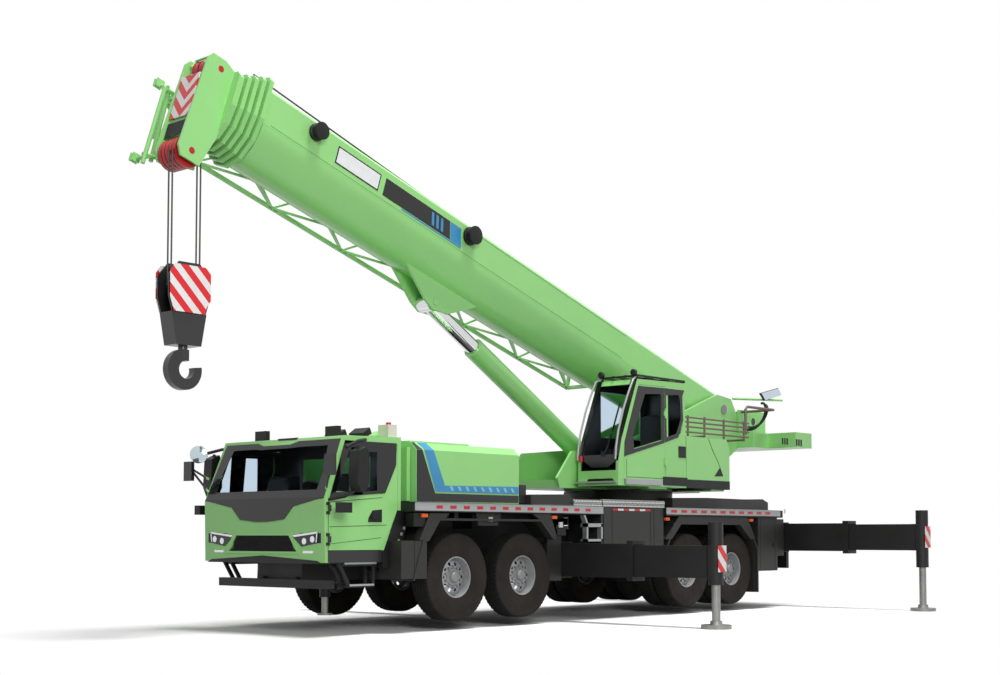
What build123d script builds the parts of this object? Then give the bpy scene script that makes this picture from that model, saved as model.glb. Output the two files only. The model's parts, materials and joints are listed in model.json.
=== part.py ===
"""Four-axle truck crane, boom over the cab, standing on its outriggers.

Frame while building: x forward from axle 1, y to the vehicle's left, z up from the ground, mm.
The last step moves everything so that the origin is the middle of the footprint.
"""
from build123d import *
import math
import os

# ---------------------------------------------------------------- clearances
SEAT = 0.3             # a piece to the seat that carries it
GAP = 6.0              # a moving piece to its neighbours
FIT = 0.3              # a pin or spindle in its bore, on the radius

# ---------------------------------------------------------------- running gear
WHEEL_LIFT = 110.0     # tyres above the ground when the jacks are down
TYRE_R = 613.0
TYRE_W = 315.0
TYRE_BEAD_R = 300.0
RIM_WALL = 32.0
DISC_T = 24.0
HUB_R = 120.0
HUB_L = 150.0
WHEEL_OUT_Y = 1400.0   # outer face of every outer tyre
TWIN_GAP = 34.0
AXLE_1_2 = 1395.0
AXLE_2_3 = 4190.0
AXLE_3_4 = 1355.0
AXLE_X = [0.0, -AXLE_1_2, -AXLE_1_2 - AXLE_2_3, -AXLE_1_2 - AXLE_2_3 - AXLE_3_4]
AXLE_Z = WHEEL_LIFT + TYRE_R
KINGPIN_Y = 1120.0
KINGPIN_R = 22.0
KNUCKLE_R = 52.0
KNUCKLE_H = 170.0
FORK_T = 36.0
SPINDLE_R = 48.0
BEAM_HALF = 62.0
CASING_HALF = 80.0
DIFF_R = 215.0
FORK_BORE = 20.0       # room round the knuckle inside its fork
SPRING_Y = 370.0
SPRING_W = 90.0

# ---------------------------------------------------------------- carrier
FRAME_HALF = 450.0
FRAME_Z0 = 900.0
FRAME_Z1 = 1400.0
FRAME_FRONT = 900.0
NOSE_FRONT = 2000.0
NOSE_Z0 = 690.0
CAB_FLOOR = 950.0
BODY_HALF = 1500.0
DECK_Z0 = 1620.0
DECK_T = 130.0
DECK_REAR = -8780.0
DECK_TOP = DECK_Z0 + DECK_T
SLEW_X = -5500.0
RING_R = 930.0
RING_BORE_R = 720.0
RING_TOP = 2060.0
PEDESTAL_TOP = 1860.0
FENDER_IN = 1040.0
FENDER_OUT = 1480.0
FENDER_T = 30.0
BAR_X = 2050.0
BAR_T = 90.0
BAR_HALF = 1150.0
BAR_Z = 608.0
BAR_H = 112.0

# ---------------------------------------------------------------- outriggers
BOX_END = 1220.0       # half length of the fixed cross boxes
BOX_WALL = 15.0
BAY_W = 300.0          # inside width of each of the two bays in a box
BEAM_H = 500.0         # outside height of the first beam
BEAM_WALL = 14.0
SLIDE_GAP = 8.0        # beam to the tube it runs in, taken up by wear pads
PAD_L = 120.0
SPAN_HALF = 3940.0     # jack centre from the centreline, beams out
STROKE_1 = 1270.0
STROKE_2 = 1225.0
COLLAR_T = 110.0
COLLAR_LIP = 42.0
BEAM_1_L = 2250.0
BEAM_2_L = 2050.0
BARREL_R = 105.0
JACK_ROD_R = 60.0
FLOAT_R = 215.0
FLOAT_T = 55.0
JACK_LIFT = 480.0      # how far a jack can be drawn up
BOX_SPECS = [          # name, front face x, underside of the first beam, jack barrel z0, z1
    ("front", -2085.0, 680.0, 610.0, 1480.0),
    ("rear", -8500.0, 1020.0, 750.0, 1735.0),
]
JACK_NOTCH = 40.0      # deck's side ends stop this far ahead of the rear box, clear of its jacks
FRONT_JACK_X = 1200.0
FRONT_JACK_R = 45.0
FRONT_JACK_FOOT_R = 105.0
FRONT_JACK_FOOT_Z = 200.0
FRONT_JACK_TUBE_R = 75.0

# ---------------------------------------------------------------- driver's cab
CAB_HALF = 1250.0
CAB_FRONT = 2300.0
CAB_REAR = 960.0
CAB_BELT = 1770.0
CAB_ROOF = 2600.0
CAB_ROOF_FRONT = 1970.0
ROOF_RISE = 20.0
BEACON_X = 1690.0
CAB_WALL = 50.0
GLASS_T = 8.0
DOOR_BOTTOM = 1110.0
DOOR_TOP = 2505.0

# ---------------------------------------------------------------- superstructure
PIVOT_X = -8000.0
PIVOT_Z = 3620.0
LUFF = 17.3            # boom angle at rest, degrees
CHEEK_Y = 505.0        # inner face of the turntable's side plates
CHEEK_T = 45.0
FLOOR_T = 60.0
BRACKET_T = 50.0
TAIL_FRONT = -8980.0
TAIL_REAR = -9560.0
TAIL_HALF = 1480.0
TAIL_Z0 = 2930.0
TAIL_Z1 = 3210.0
DRUM_X = -8920.0
DRUM_Z = 3440.0
DRUM_R = 190.0
DRUM_AXLE_R = 70.0
FOOT_PIN_R = 90.0
OP_IN = 640.0
OP_OUT = 1450.0
OP_FRONT = -3600.0
OP_REAR = -5480.0
OP_FLOOR = 2090.0
OP_ROOF = 3830.0
OP_WALL = 45.0

# ---------------------------------------------------------------- boom, along its own axis from the foot pin
BOOM_HALF = 420.0
BOOM_TOP = 285.0
BOOM_WEB = -230.0      # where the flat web meets the round lower shell
BOOM_BOTTOM = -765.0
BOOM_END = 11250.0
BOOM_WALL = 12.0
BOOM_CORNER = 60.0
SECTION_STEP = 24.0    # each inner section is this much smaller on every side
SECTION_COUNT = 4
SECTION_OUT = 92.0     # how far each mouth stands out of the one before
SECTION_START = 1150.0
SECTION_STROKE = 9000.0
MOUTH_T = 60.0
MOUTH_LIP = 95.0
HEAD_FRONT = 12080.0
HEAD_Y = 230.0
HEAD_PLATE_T = 30.0
SHEAVE_AXLE_S = 11930.0
SHEAVE_AXLE_T = -1045.0
SHEAVE_R = 205.0
SHEAVE_W = 60.0
SHEAVE_PITCH = 76.0
SHEAVE_COUNT = 5
TOP_SHEAVE_S = 11850.0
TOP_SHEAVE_T = 190.0
TOP_SHEAVE_R = 175.0

# ---------------------------------------------------------------- lift cylinder
LIFT_PIN_S = 7220.0
LIFT_PIN_T = -1020.0
LIFT_PIN_R = 55.0
LIFT_BASE_X = -5400.0
LIFT_BASE_Z = 2130.0
LIFT_BARREL_R = 165.0
LIFT_BARREL_L = 4150.0
LIFT_BORE_START = 250.0
LIFT_ROD_START = 300.0  # inner end of the rod from the base eye at rest
LIFT_ROD_R = 120.0
LIFT_EYE_R = 135.0
LIFT_EYE_W = 240.0
LUG_T = 45.0

# ---------------------------------------------------------------- hook
ROPE_R = 11.0
FALL_SHEAVES = (3, 4)  # head sheaves that carry the rope falls
BLOCK_DROP = 1730.0    # block sheave axle below the head sheave axle
BLOCK_TOP = 300.0      # cheek plates above and below the block's sheave axle
BLOCK_SIDE = 310.0
BLOCK_WAIST = 350.0
BLOCK_BODY = 750.0
HOOK_EYE_DROP = 1050.0
HOOK_OUT_R = 258.0
HOOK_IN_R = 115.0
HOOK_T = 110.0

ON_END = (Align.CENTER, Align.CENTER, Align.MIN)
parts = {}


def block(x0, x1, y0, y1, z0, z1):
    """A box between two corners, in any order."""
    size = (abs(x1 - x0), abs(y1 - y0), abs(z1 - z0))
    return Pos((x0 + x1) / 2, (y0 + y1) / 2, (z0 + z1) / 2) * Box(*size)


def slab(outline, y0, y1):
    """An outline of (x, z) points, as thick as y0 to y1."""
    face = make_face(Polyline(*[(x, y0, z) for x, z in outline], close=True))
    return extrude(face, y1 - y0, dir=(0, 1, 0))


def section(outline, x0, x1):
    """An outline of (y, z) points, as long as x0 to x1."""
    face = make_face(Polyline(*[(x0, y, z) for y, z in outline], close=True))
    return extrude(face, x1 - x0, dir=(1, 0, 0))


def rod(start, end, radius):
    """A round bar from start to end."""
    line = Vector(*end) - Vector(*start)
    return Plane(origin=start, z_dir=line) * Cylinder(radius, line.length, align=ON_END)


def bar(start, end, width, up=(0, 1, 0)):
    """A square bar from start to end."""
    line = Vector(*end) - Vector(*start)
    across = Vector(*up).cross(line)
    return Plane(origin=start, x_dir=across, z_dir=line) * Box(width, width, line.length, align=ON_END)


def grown(outline, amount):
    """The same outline moved outwards by amount, or inwards where it is negative."""
    face = make_face(Polyline(*[(a, b, 0) for a, b in outline], close=True))
    moved = offset(face, amount=amount, kind=Kind.INTERSECTION).face()
    return [((edge @ 0).X, (edge @ 0).Y) for edge in moved.outer_wire().order_edges()]


def strip(line, thickness):
    """The outline of a bent sheet that follows a line of points, with mitred bends."""
    steps = [(Vector(*b) - Vector(*a)).normalized() for a, b in zip(line, line[1:])]
    sides = [Vector(-step.Y, step.X) for step in steps]
    mitres = [sides[0]]
    for before, after in zip(sides, sides[1:]):
        middle = (before + after).normalized()
        mitres.append(middle * (1 / middle.dot(before)))
    mitres.append(sides[-1])
    upper = [Vector(*point) + mitre * (thickness / 2) for point, mitre in zip(line, mitres)]
    lower = [Vector(*point) - mitre * (thickness / 2) for point, mitre in zip(line, mitres)]
    return [(p.X, p.Y) for p in upper + lower[::-1]]


def mirrored(solid):
    """The right-hand twin of a left-hand piece."""
    return mirror(solid, about=Plane.XZ)


# ================================================================ carrier chassis
def bay_span(front_x, bay):
    """Front and rear x of bay 0, the front one, or bay 1 in a cross box."""
    x1 = front_x - BOX_WALL - bay * (BAY_W + BOX_WALL)
    return x1, x1 - BAY_W


def tube_bay(front_x, bay, beam_z):
    """The open channel of one bay, from end to end of its cross box."""
    x1, x0 = bay_span(front_x, bay)
    return block(x0, x1, -BOX_END - 1, BOX_END + 1, beam_z - SLIDE_GAP, beam_z + BEAM_H + SLIDE_GAP)


BOX_LENGTH_X = 2 * BAY_W + 3 * BOX_WALL

chassis = block(-9000, FRAME_FRONT, -FRAME_HALF, FRAME_HALF, FRAME_Z0, FRAME_Z1)
chassis += block(FRAME_FRONT - 100, NOSE_FRONT, -FRAME_HALF, FRAME_HALF, NOSE_Z0, CAB_FLOOR - SEAT)
for side in (-1, 1):
    chassis += block(1600, BAR_X + 1, side * 300, side * 380, BAR_Z, NOSE_Z0 + 60)
chassis += block(BAR_X, BAR_X + BAR_T, -BAR_HALF, BAR_HALF, BAR_Z, BAR_Z + BAR_H)
chassis += Pos(SLEW_X, 0, (FRAME_Z1 + PEDESTAL_TOP) / 2 - 30) * Cylinder(RING_R - 60, PEDESTAL_TOP - FRAME_Z1 + 60)
chassis += Pos(SLEW_X, 0, (PEDESTAL_TOP + RING_TOP) / 2) * Cylinder(RING_R, RING_TOP - PEDESTAL_TOP)
chassis += Pos(FRONT_JACK_X, 0, 0) * extrude(Circle(FRONT_JACK_TUBE_R), CAB_FLOOR - SEAT - 450).moved(Pos(0, 0, 450))
for _, front_x, beam_z, _, _ in BOX_SPECS:
    low = beam_z - SLIDE_GAP - BOX_WALL
    high = beam_z + BEAM_H + SLIDE_GAP + BOX_WALL
    chassis += block(front_x - BOX_LENGTH_X, front_x, -BOX_END, BOX_END, low, high)
for _, front_x, beam_z, _, _ in BOX_SPECS:
    for bay in (0, 1):
        chassis -= tube_bay(front_x, bay, beam_z)
chassis -= Pos(SLEW_X, 0, 1800) * Cylinder(RING_BORE_R, 820)
chassis -= rod((FRONT_JACK_X, 0, 400), (FRONT_JACK_X, 0, CAB_FLOOR + 10), FRONT_JACK_R + FIT)
parts["chassis_frame"] = chassis

# ---------------------------------------------------------------- deck, with holes for ring and engine
deck = block(DECK_REAR, CAB_REAR - GAP, -BODY_HALF, BODY_HALF, DECK_Z0, DECK_TOP)
deck -= Pos(SLEW_X, 0, DECK_Z0) * Cylinder(RING_R - 60 + SEAT, 500)
ENGINE_BOX = (-950.0, 550.0, -380.0, 380.0, FRAME_Z1 + SEAT, 2000.0)
deck -= block(ENGINE_BOX[0] - 40, ENGINE_BOX[1] + 40, -FRAME_HALF, FRAME_HALF, DECK_Z0 - 1, DECK_TOP + 1)
for x0, x1 in ((-3150, -1300), (700, 800), (-8300, -7600)):
    deck += block(x0, x1, -FRAME_HALF, FRAME_HALF, FRAME_Z1 + SEAT, DECK_Z0)
REAR_BOX_TOP = BOX_SPECS[1][2] + BEAM_H + SLIDE_GAP + BOX_WALL
deck += block(DECK_REAR, BOX_SPECS[1][1] - 20, -FRAME_HALF, FRAME_HALF, REAR_BOX_TOP + SEAT, DECK_Z0)
for side in (-1, 1):
    deck -= block(-4820, -3150, side * 1420, side * (BODY_HALF + 1), DECK_Z0 - 1, DECK_TOP + 1)
    deck += block(-4820, -3150, side * 1180, side * 1420, DECK_TOP, DECK_TOP + 90)
    deck -= block(DECK_REAR - 1, BOX_SPECS[1][1] + JACK_NOTCH, side * 1180, side * (BODY_HALF + 1), DECK_Z0 - 1, DECK_TOP + 1)
parts["deck"] = deck

# ---------------------------------------------------------------- mudguards over each pair of wheels
front_guard = [(930, 700), (740, 1250), (560, 1520), (-1780, 1520), (-2040, 1290)]
rear_guard = [(-4860, 1050), (-5090, 1500), (-7330, 1500), (-7640, 1050), (-7640, 300)]
guards = []
for line in (front_guard, rear_guard):
    for side in (-1, 1):
        y0 = FENDER_IN if side > 0 else -FENDER_OUT
        shell = slab(strip(line, FENDER_T), y0, y0 + FENDER_OUT - FENDER_IN)
        top_z = max(z for _, z in line) + FENDER_T / 2
        mid_x = (line[1][0] + line[3][0]) / 2
        for post_x in (mid_x - 450, mid_x + 450):
            shell += block(post_x - 40, post_x + 40, side * 1200, side * 1300, top_z - 5, DECK_Z0 - SEAT)
        guards.append(shell)
parts["mudguards"] = Compound(guards)

# ---------------------------------------------------------------- boxes and tank slung beside the frame
CABINETS = [("steps", -4750, -3160, 1000), ("tool box", -8340, -7670, 670)]
boxes = []
for _, x0, x1, z0 in CABINETS:
    for side in (-1, 1):
        body = block(x0, x1, side * 800, side * 1450, z0, DECK_Z0 - SEAT)
        body += block(x0 + 60, x1 - 60, side * (FRAME_HALF + SEAT), side * 810, FRAME_Z0 + 120, FRAME_Z1 - 40)
        boxes.append(body)
parts["side_cabinets"] = Compound(boxes)

# ---------------------------------------------------------------- engine under its hood
parts["engine"] = block(*ENGINE_BOX)
HOOD_REAR = -1400.0
HOOD_FRONT = 720.0
HOOD_WALL = 30.0
hood_outline = [
    (-1300, DECK_TOP + SEAT), (-1300, 2470), (-1190, 2570), (-560, 2570), (-470, 2500), (-470, 2080),
    (470, 2080), (470, 2500), (560, 2570), (1190, 2570), (1300, 2470), (1300, DECK_TOP + SEAT)]
hood = section(hood_outline, HOOD_REAR, HOOD_FRONT)
inner = [
    (-1270, DECK_TOP - 50), (-1270, 2457), (-1178, 2540), (-572, 2540), (-500, 2486), (-500, 2050),
    (500, 2050), (500, 2486), (572, 2540), (1178, 2540), (1270, 2457), (1270, DECK_TOP - 50)]
hood -= section(inner, HOOD_REAR + HOOD_WALL, HOOD_FRONT - HOOD_WALL)
parts["engine_hood"] = hood


# ================================================================ axles, knuckles and wheels
def wheel_ring(y0, y1):
    """One tyre on its rim barrel, between two faces, square to y."""
    outline = [
        (TYRE_BEAD_R, y0 + 25), (TYRE_BEAD_R + 110, y0), (TYRE_R - 60, y0 + 4), (TYRE_R, y0 + 32),
        (TYRE_R, y1 - 32), (TYRE_R - 60, y1 - 4), (TYRE_BEAD_R + 110, y1), (TYRE_BEAD_R, y1 - 25),
        (TYRE_BEAD_R - RIM_WALL, y1 - 25), (TYRE_BEAD_R - RIM_WALL, y0 + 25)]
    face = make_face(Polyline(*[(r, y, 0) for r, y in outline], close=True))
    return revolve(face, axis=Axis.Y)


def left_wheel(twin):
    """A wheel or pair of wheels on its hub, axle line on y, for the left side."""
    inner_y = WHEEL_OUT_Y - TYRE_W
    wheel = wheel_ring(inner_y, WHEEL_OUT_Y)
    disc_y = inner_y - TWIN_GAP / 2 if twin else WHEEL_OUT_Y - 110
    disc_t = 2 * DISC_T if twin else DISC_T
    if twin:
        wheel += wheel_ring(inner_y - TWIN_GAP - TYRE_W, inner_y - TWIN_GAP)
        barrel = rod((0, inner_y - TWIN_GAP - 26, 0), (0, inner_y + 26, 0), TYRE_BEAD_R - 2)
        wheel += barrel - rod((0, 0, 0), (0, inner_y + 27, 0), TYRE_BEAD_R - RIM_WALL)
    wheel += rod((0, disc_y - disc_t / 2, 0), (0, disc_y + disc_t / 2, 0), TYRE_BEAD_R - RIM_WALL + 5)
    hub_y0 = disc_y - HUB_L / 2
    hub_y1 = disc_y + HUB_L / 2
    wheel += rod((0, hub_y0, 0), (0, hub_y1, 0), HUB_R)
    wheel -= rod((0, hub_y0 - 1, 0), (0, hub_y1 - 25, 0), SPINDLE_R + FIT)
    return wheel, hub_y0, hub_y1 - 25


axles = []
for number, axle_x in enumerate(AXLE_X, 1):
    steered = number < 3
    wheel, hub_y0, bore_y = left_wheel(twin=not steered)
    for side, mark in ((1, "left"), (-1, "right")):
        placed = wheel if side > 0 else mirrored(wheel)
        parts[f"wheel_{number}_{mark}"] = placed.moved(Pos(axle_x, 0, AXLE_Z))
    beam_half = BEAM_HALF if steered else CASING_HALF
    beam_end = KINGPIN_Y - KNUCKLE_R if steered else hub_y0 - 40
    axle = block(-beam_half, beam_half, -beam_end, beam_end, -beam_half, beam_half)
    if not steered:
        axle += rod((0, -DIFF_R * 0.6, 0), (0, DIFF_R * 0.6, 0), DIFF_R)
        axle &= block(-DIFF_R, DIFF_R, -beam_end, beam_end, -DIFF_R, FRAME_Z0 - AXLE_Z - 20)
    for side in (-1, 1):
        axle += block(-60, 60, side * (SPRING_Y - SPRING_W / 2), side * (SPRING_Y + SPRING_W / 2), 0,
                      FRAME_Z0 - AXLE_Z - SEAT)
        axle += block(-520, 520, side * (SPRING_Y - SPRING_W / 2), side * (SPRING_Y + SPRING_W / 2), 75, 120)
        if steered:
            pin_y = side * KINGPIN_Y
            fork_half = KNUCKLE_H / 2 + FORK_T
            room_half = KNUCKLE_H / 2 + SEAT
            axle += rod((0, pin_y, -fork_half), (0, pin_y, fork_half), KNUCKLE_R)
            axle += block(-KNUCKLE_R, KNUCKLE_R, side * (KINGPIN_Y - 122), pin_y, -fork_half, fork_half)
            axle -= rod((0, pin_y, -room_half), (0, pin_y, room_half), KNUCKLE_R + FORK_BORE)
            axle += rod((0, pin_y, -room_half - 2), (0, pin_y, room_half + 2), KINGPIN_R)
        else:
            axle += rod((0, side * (hub_y0 - 60), 0), (0, side * (bore_y - 2), 0), SPINDLE_R)
    axles.append(axle.moved(Pos(axle_x, 0, AXLE_Z)))
    if steered:
        knuckle = rod((0, KINGPIN_Y, -KNUCKLE_H / 2), (0, KINGPIN_Y, KNUCKLE_H / 2), KNUCKLE_R)
        knuckle += rod((0, KINGPIN_Y, 0), (0, bore_y - 2, 0), SPINDLE_R)
        knuckle -= rod((0, KINGPIN_Y, -KNUCKLE_H), (0, KINGPIN_Y, KNUCKLE_H), KINGPIN_R + FIT)
        parts[f"knuckle_{number}_left"] = knuckle.moved(Pos(axle_x, 0, AXLE_Z))
        parts[f"knuckle_{number}_right"] = mirrored(knuckle).moved(Pos(axle_x, 0, AXLE_Z))
parts["axles"] = Compound(axles)


# ================================================================ outriggers
def box_tube(width, height, length, wall, closed_far=False):
    """A square tube along y from y = -length to 0, middle of its width on x, underside on z = 0."""
    tube = block(-width / 2, width / 2, -length, 0, 0, height)
    end = -wall if closed_far else 1
    return tube - block(-width / 2 + wall, width / 2 - wall, -length - 1, end, wall, height - wall)


WIDTH_1 = BAY_W - 2 * SLIDE_GAP
WIDTH_2 = WIDTH_1 - 2 * BEAM_WALL - 2 * SLIDE_GAP
HEIGHT_2 = BEAM_H - 2 * BEAM_WALL - 2 * SLIDE_GAP
MOUTH_Y = BOX_END + STROKE_1 + GAP     # beam 1 collar's inner face at rest
BEAM_1_END = MOUTH_Y + COLLAR_T
BEAM_2_END = SPAN_HALF - BARREL_R + 30
PAD_DEEP = SLIDE_GAP - SEAT


def with_pads(tube, width, height, length, mouth_y):
    """Adds the wear pads: above at the tail, below where the outer tube ends, and both sides."""
    for y0, z0 in ((-length, height - 1), (mouth_y - PAD_L - GAP, -PAD_DEEP)):
        tube += block(-width / 3, width / 3, y0, y0 + PAD_L, z0, z0 + PAD_DEEP + 1)
    return tube


for corner, front_x, beam_z, barrel_z0, barrel_z1 in BOX_SPECS:
    for bay, side, mark in ((1, 1, "left"), (0, -1, "right")):
        x1, x0 = bay_span(front_x, bay)
        seat_1 = Pos((x0 + x1) / 2, BEAM_1_END, beam_z)
        seat_2 = Pos((x0 + x1) / 2, BEAM_2_END, beam_z + BEAM_WALL + SLIDE_GAP)
        beam_1 = box_tube(WIDTH_1, BEAM_H, BEAM_1_L, BEAM_WALL)
        beam_1 = with_pads(beam_1, WIDTH_1, BEAM_H, BEAM_1_L, BOX_END - BEAM_1_END)
        collar = block(-WIDTH_1 / 2 - SLIDE_GAP, WIDTH_1 / 2 + SLIDE_GAP, -COLLAR_T, 0, -COLLAR_LIP, BEAM_H + COLLAR_LIP)
        collar -= block(-WIDTH_1 / 2 + 1, WIDTH_1 / 2 - 1, -COLLAR_T - 1, 1, 1, BEAM_H - 1)
        beam_1 = (beam_1 + collar).moved(seat_1)
        beam_2 = box_tube(WIDTH_2, HEIGHT_2, BEAM_2_L, BEAM_WALL, closed_far=True)
        beam_2 = with_pads(beam_2, WIDTH_2, HEIGHT_2, BEAM_2_L, BEAM_1_END - BEAM_2_END).moved(seat_2)
        jack_at = ((x0 + x1) / 2, SPAN_HALF)
        beam_2 += rod((*jack_at, barrel_z0), (*jack_at, barrel_z1), BARREL_R)
        beam_2 += block(x0 + 45, x1 - 45, SPAN_HALF - BARREL_R - 40, SPAN_HALF, beam_z + 20, beam_z + BEAM_H - 20)
        beam_2 -= rod((*jack_at, barrel_z0 - 1), (*jack_at, barrel_z1 - 20), JACK_ROD_R + FIT)
        rod_top = barrel_z1 - 25 - JACK_LIFT
        jack = rod((*jack_at, FLOAT_T - 5), (*jack_at, rod_top), JACK_ROD_R)
        jack += rod((*jack_at, 0), (*jack_at, FLOAT_T), FLOAT_R)
        for piece, node in ((beam_1, "beam_1"), (beam_2, "beam_2"), (jack, "jack")):
            parts[f"outrigger_{corner}_{mark}_{node}"] = piece if side > 0 else mirrored(piece)

front_jack = rod((FRONT_JACK_X, 0, FRONT_JACK_FOOT_Z + 20), (FRONT_JACK_X, 0, 800), FRONT_JACK_R)
foot_top = FRONT_JACK_FOOT_Z + 30
parts["front_jack"] = front_jack + rod((FRONT_JACK_X, 0, FRONT_JACK_FOOT_Z), (FRONT_JACK_X, 0, foot_top),
                                       FRONT_JACK_FOOT_R)


# ================================================================ driver's cab
cab_outline = [
    (CAB_FRONT, CAB_FLOOR), (CAB_FRONT + 20, CAB_BELT), (CAB_ROOF_FRONT, CAB_ROOF), (CAB_REAR, CAB_ROOF + ROOF_RISE),
    (CAB_REAR, 1600), (1290, 1040), (1290, CAB_FLOOR)]
door_outline = [
    (2245, DOOR_BOTTOM), (2245, 1790), (1975, DOOR_TOP), (1020, DOOR_TOP), (1020, 1620), (1320, DOOR_BOTTOM)]
window_outline = [(2130, 1870), (1930, 2430), (1110, 2430), (1110, 2210), (1290, 1850)]

cab = slab(cab_outline, -CAB_HALF, CAB_HALF) - slab(grown(cab_outline, -CAB_WALL), -CAB_HALF + CAB_WALL, CAB_HALF - CAB_WALL)
SCREEN_Z = (1840.0, 2490.0)
SCREEN_HALF = 1090.0
REAR_WINDOW = (700.0, 1960.0, 2380.0)
screen_cut = block(1700, 2500, -SCREEN_HALF, SCREEN_HALF, *SCREEN_Z)
cab -= screen_cut
cab -= block(CAB_REAR - 10, CAB_REAR + CAB_WALL + 5, -REAR_WINDOW[0], REAR_WINDOW[0], REAR_WINDOW[1], REAR_WINDOW[2])
for side in (-1, 1):
    y0 = CAB_HALF - CAB_WALL - 1 if side > 0 else -CAB_HALF - 1
    cab -= slab(grown(door_outline, GAP), y0, y0 + CAB_WALL + 2)
GRILLE = (620.0, 1080.0, 1320.0)
cab -= block(CAB_FRONT - 25, CAB_FRONT + 30, -GRILLE[0], GRILLE[0], GRILLE[1], GRILLE[2])
for side in (-1, 1):
    cab -= block(CAB_FRONT - 30, CAB_FRONT + 30, side * 760, side * 1180, 1200, 1330)
HINGE_Y = CAB_HALF + 16
HINGE_X = 2245 + GAP / 2
HINGE_R = 14.0
for side in (-1, 1):
    for z in (1250, 1650):
        hinge = rod((HINGE_X, side * HINGE_Y, z + 40 + SEAT), (HINGE_X, side * HINGE_Y, z + 80), HINGE_R)
        hinge += rod((HINGE_X, side * HINGE_Y, z - 80), (HINGE_X, side * HINGE_Y, z - 40 - SEAT), HINGE_R)
        hinge += rod((HINGE_X, side * HINGE_Y, z - 80), (HINGE_X, side * HINGE_Y, z + 80), 5)
        for z0, z1 in ((z + 40 + SEAT, z + 80), (z - 80, z - 40 - SEAT)):
            hinge += block(HINGE_X + 4, HINGE_X + 40, side * (CAB_HALF - 5), side * HINGE_Y, z0, z1)
        cab += hinge
    mirror_arm = rod((2270, side * 1230, 2080), (2420, side * 1480, 2250), 16)
    mirror_arm += rod((2270, side * 1230, 1900), (2420, side * 1480, 2250), 16)
    mirror_arm += block(2400, 2450, side * 1390, side * 1570, 2060, 2330)
    cab += mirror_arm
parts["driver_cab"] = cab

screen_lean = (CAB_ROOF_FRONT - CAB_FRONT - 20) / (CAB_ROOF - CAB_BELT)


def screen_x(z, depth):
    """The windscreen's outer face at height z, moved back by depth."""
    return CAB_FRONT + 20 + screen_lean * (z - CAB_BELT) - depth


z0, z1 = SCREEN_Z[0] + SEAT, SCREEN_Z[1] - SEAT
screen = slab([(screen_x(z0, 10), z0), (screen_x(z1, 10), z1), (screen_x(z1, 10 + GLASS_T), z1), (screen_x(z0, 10 + GLASS_T), z0)],
              -SCREEN_HALF + SEAT, SCREEN_HALF - SEAT)
rear_pane = block(CAB_REAR + 20, CAB_REAR + 20 + GLASS_T, -REAR_WINDOW[0] + SEAT, REAR_WINDOW[0] - SEAT,
                  REAR_WINDOW[1] + SEAT, REAR_WINDOW[2] - SEAT)
parts["driver_cab_glass"] = Compound([screen, rear_pane])

for side, mark in ((1, "left"), (-1, "right")):
    door = slab(door_outline, CAB_HALF - CAB_WALL, CAB_HALF) - slab(window_outline, CAB_HALF - CAB_WALL - 1, CAB_HALF + 1)
    for z in (1250, 1650):
        knuckle = rod((HINGE_X, HINGE_Y, z - 40), (HINGE_X, HINGE_Y, z + 40), HINGE_R)
        knuckle += block(HINGE_X - 40, HINGE_X - 4, CAB_HALF - 5, HINGE_Y, z - 40, z + 40)
        door += knuckle - rod((HINGE_X, HINGE_Y, z - 41), (HINGE_X, HINGE_Y, z + 41), 5 + FIT)
    pane = slab(grown(window_outline, -SEAT), CAB_HALF - 30, CAB_HALF - 30 + GLASS_T)
    parts[f"driver_door_{mark}"] = door if side > 0 else mirrored(door)
    parts[f"driver_door_glass_{mark}"] = pane if side > 0 else mirrored(pane)

cab_in = CAB_FLOOR + CAB_WALL + SEAT
interior = []
for side in (-1, 1):
    seat = block(1400, 1850, side * 400, side * 880, cab_in, cab_in + 420)
    seat += block(1330, 1480, side * 400, side * 880, cab_in + 300, cab_in + 1130)
    interior.append(seat)
dashboard = block(2010, CAB_FRONT - CAB_WALL - SEAT, -1100, 1100, cab_in + 380, cab_in + 760)
dashboard += block(2100, 2200, -1000, 1000, cab_in, cab_in + 400)
dashboard += rod((1890, 640, cab_in + 860), (2100, 640, cab_in + 620), 28)
dashboard += Plane(origin=(1890, 640, cab_in + 860), z_dir=(-0.66, 0, 0.75)) * Cylinder(235, 26)
interior.append(dashboard)
parts["driver_cab_interior"] = Compound(interior)

lamps = []
for side in (-1, 1):
    lamps.append(block(CAB_FRONT - 30 + SEAT, CAB_FRONT + 4, side * 765, side * 1175, 1205, 1325))
    roof_z = CAB_ROOF + ROOF_RISE * (CAB_ROOF_FRONT - BEACON_X) / (CAB_ROOF_FRONT - CAB_REAR)
    lamps.append(block(BEACON_X, BEACON_X + 70, side * 620, side * 860, roof_z + SEAT, roof_z + 150))
lamps.append(block(CAB_FRONT - 25 + SEAT, CAB_FRONT - 5, -GRILLE[0] + 5, GRILLE[0] - 5, GRILLE[1] + 5, GRILLE[2] - 5))
tail_x = BOX_SPECS[1][1] - BOX_LENGTH_X
tail_z = BOX_SPECS[1][2] - SLIDE_GAP - BOX_WALL - SEAT
for side in (-1, 1):
    lamps.append(block(tail_x + 10, tail_x + 90, side * 960, side * 1215, tail_z - 300, tail_z))
parts["lamps_and_grille"] = Compound(lamps)


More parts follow.
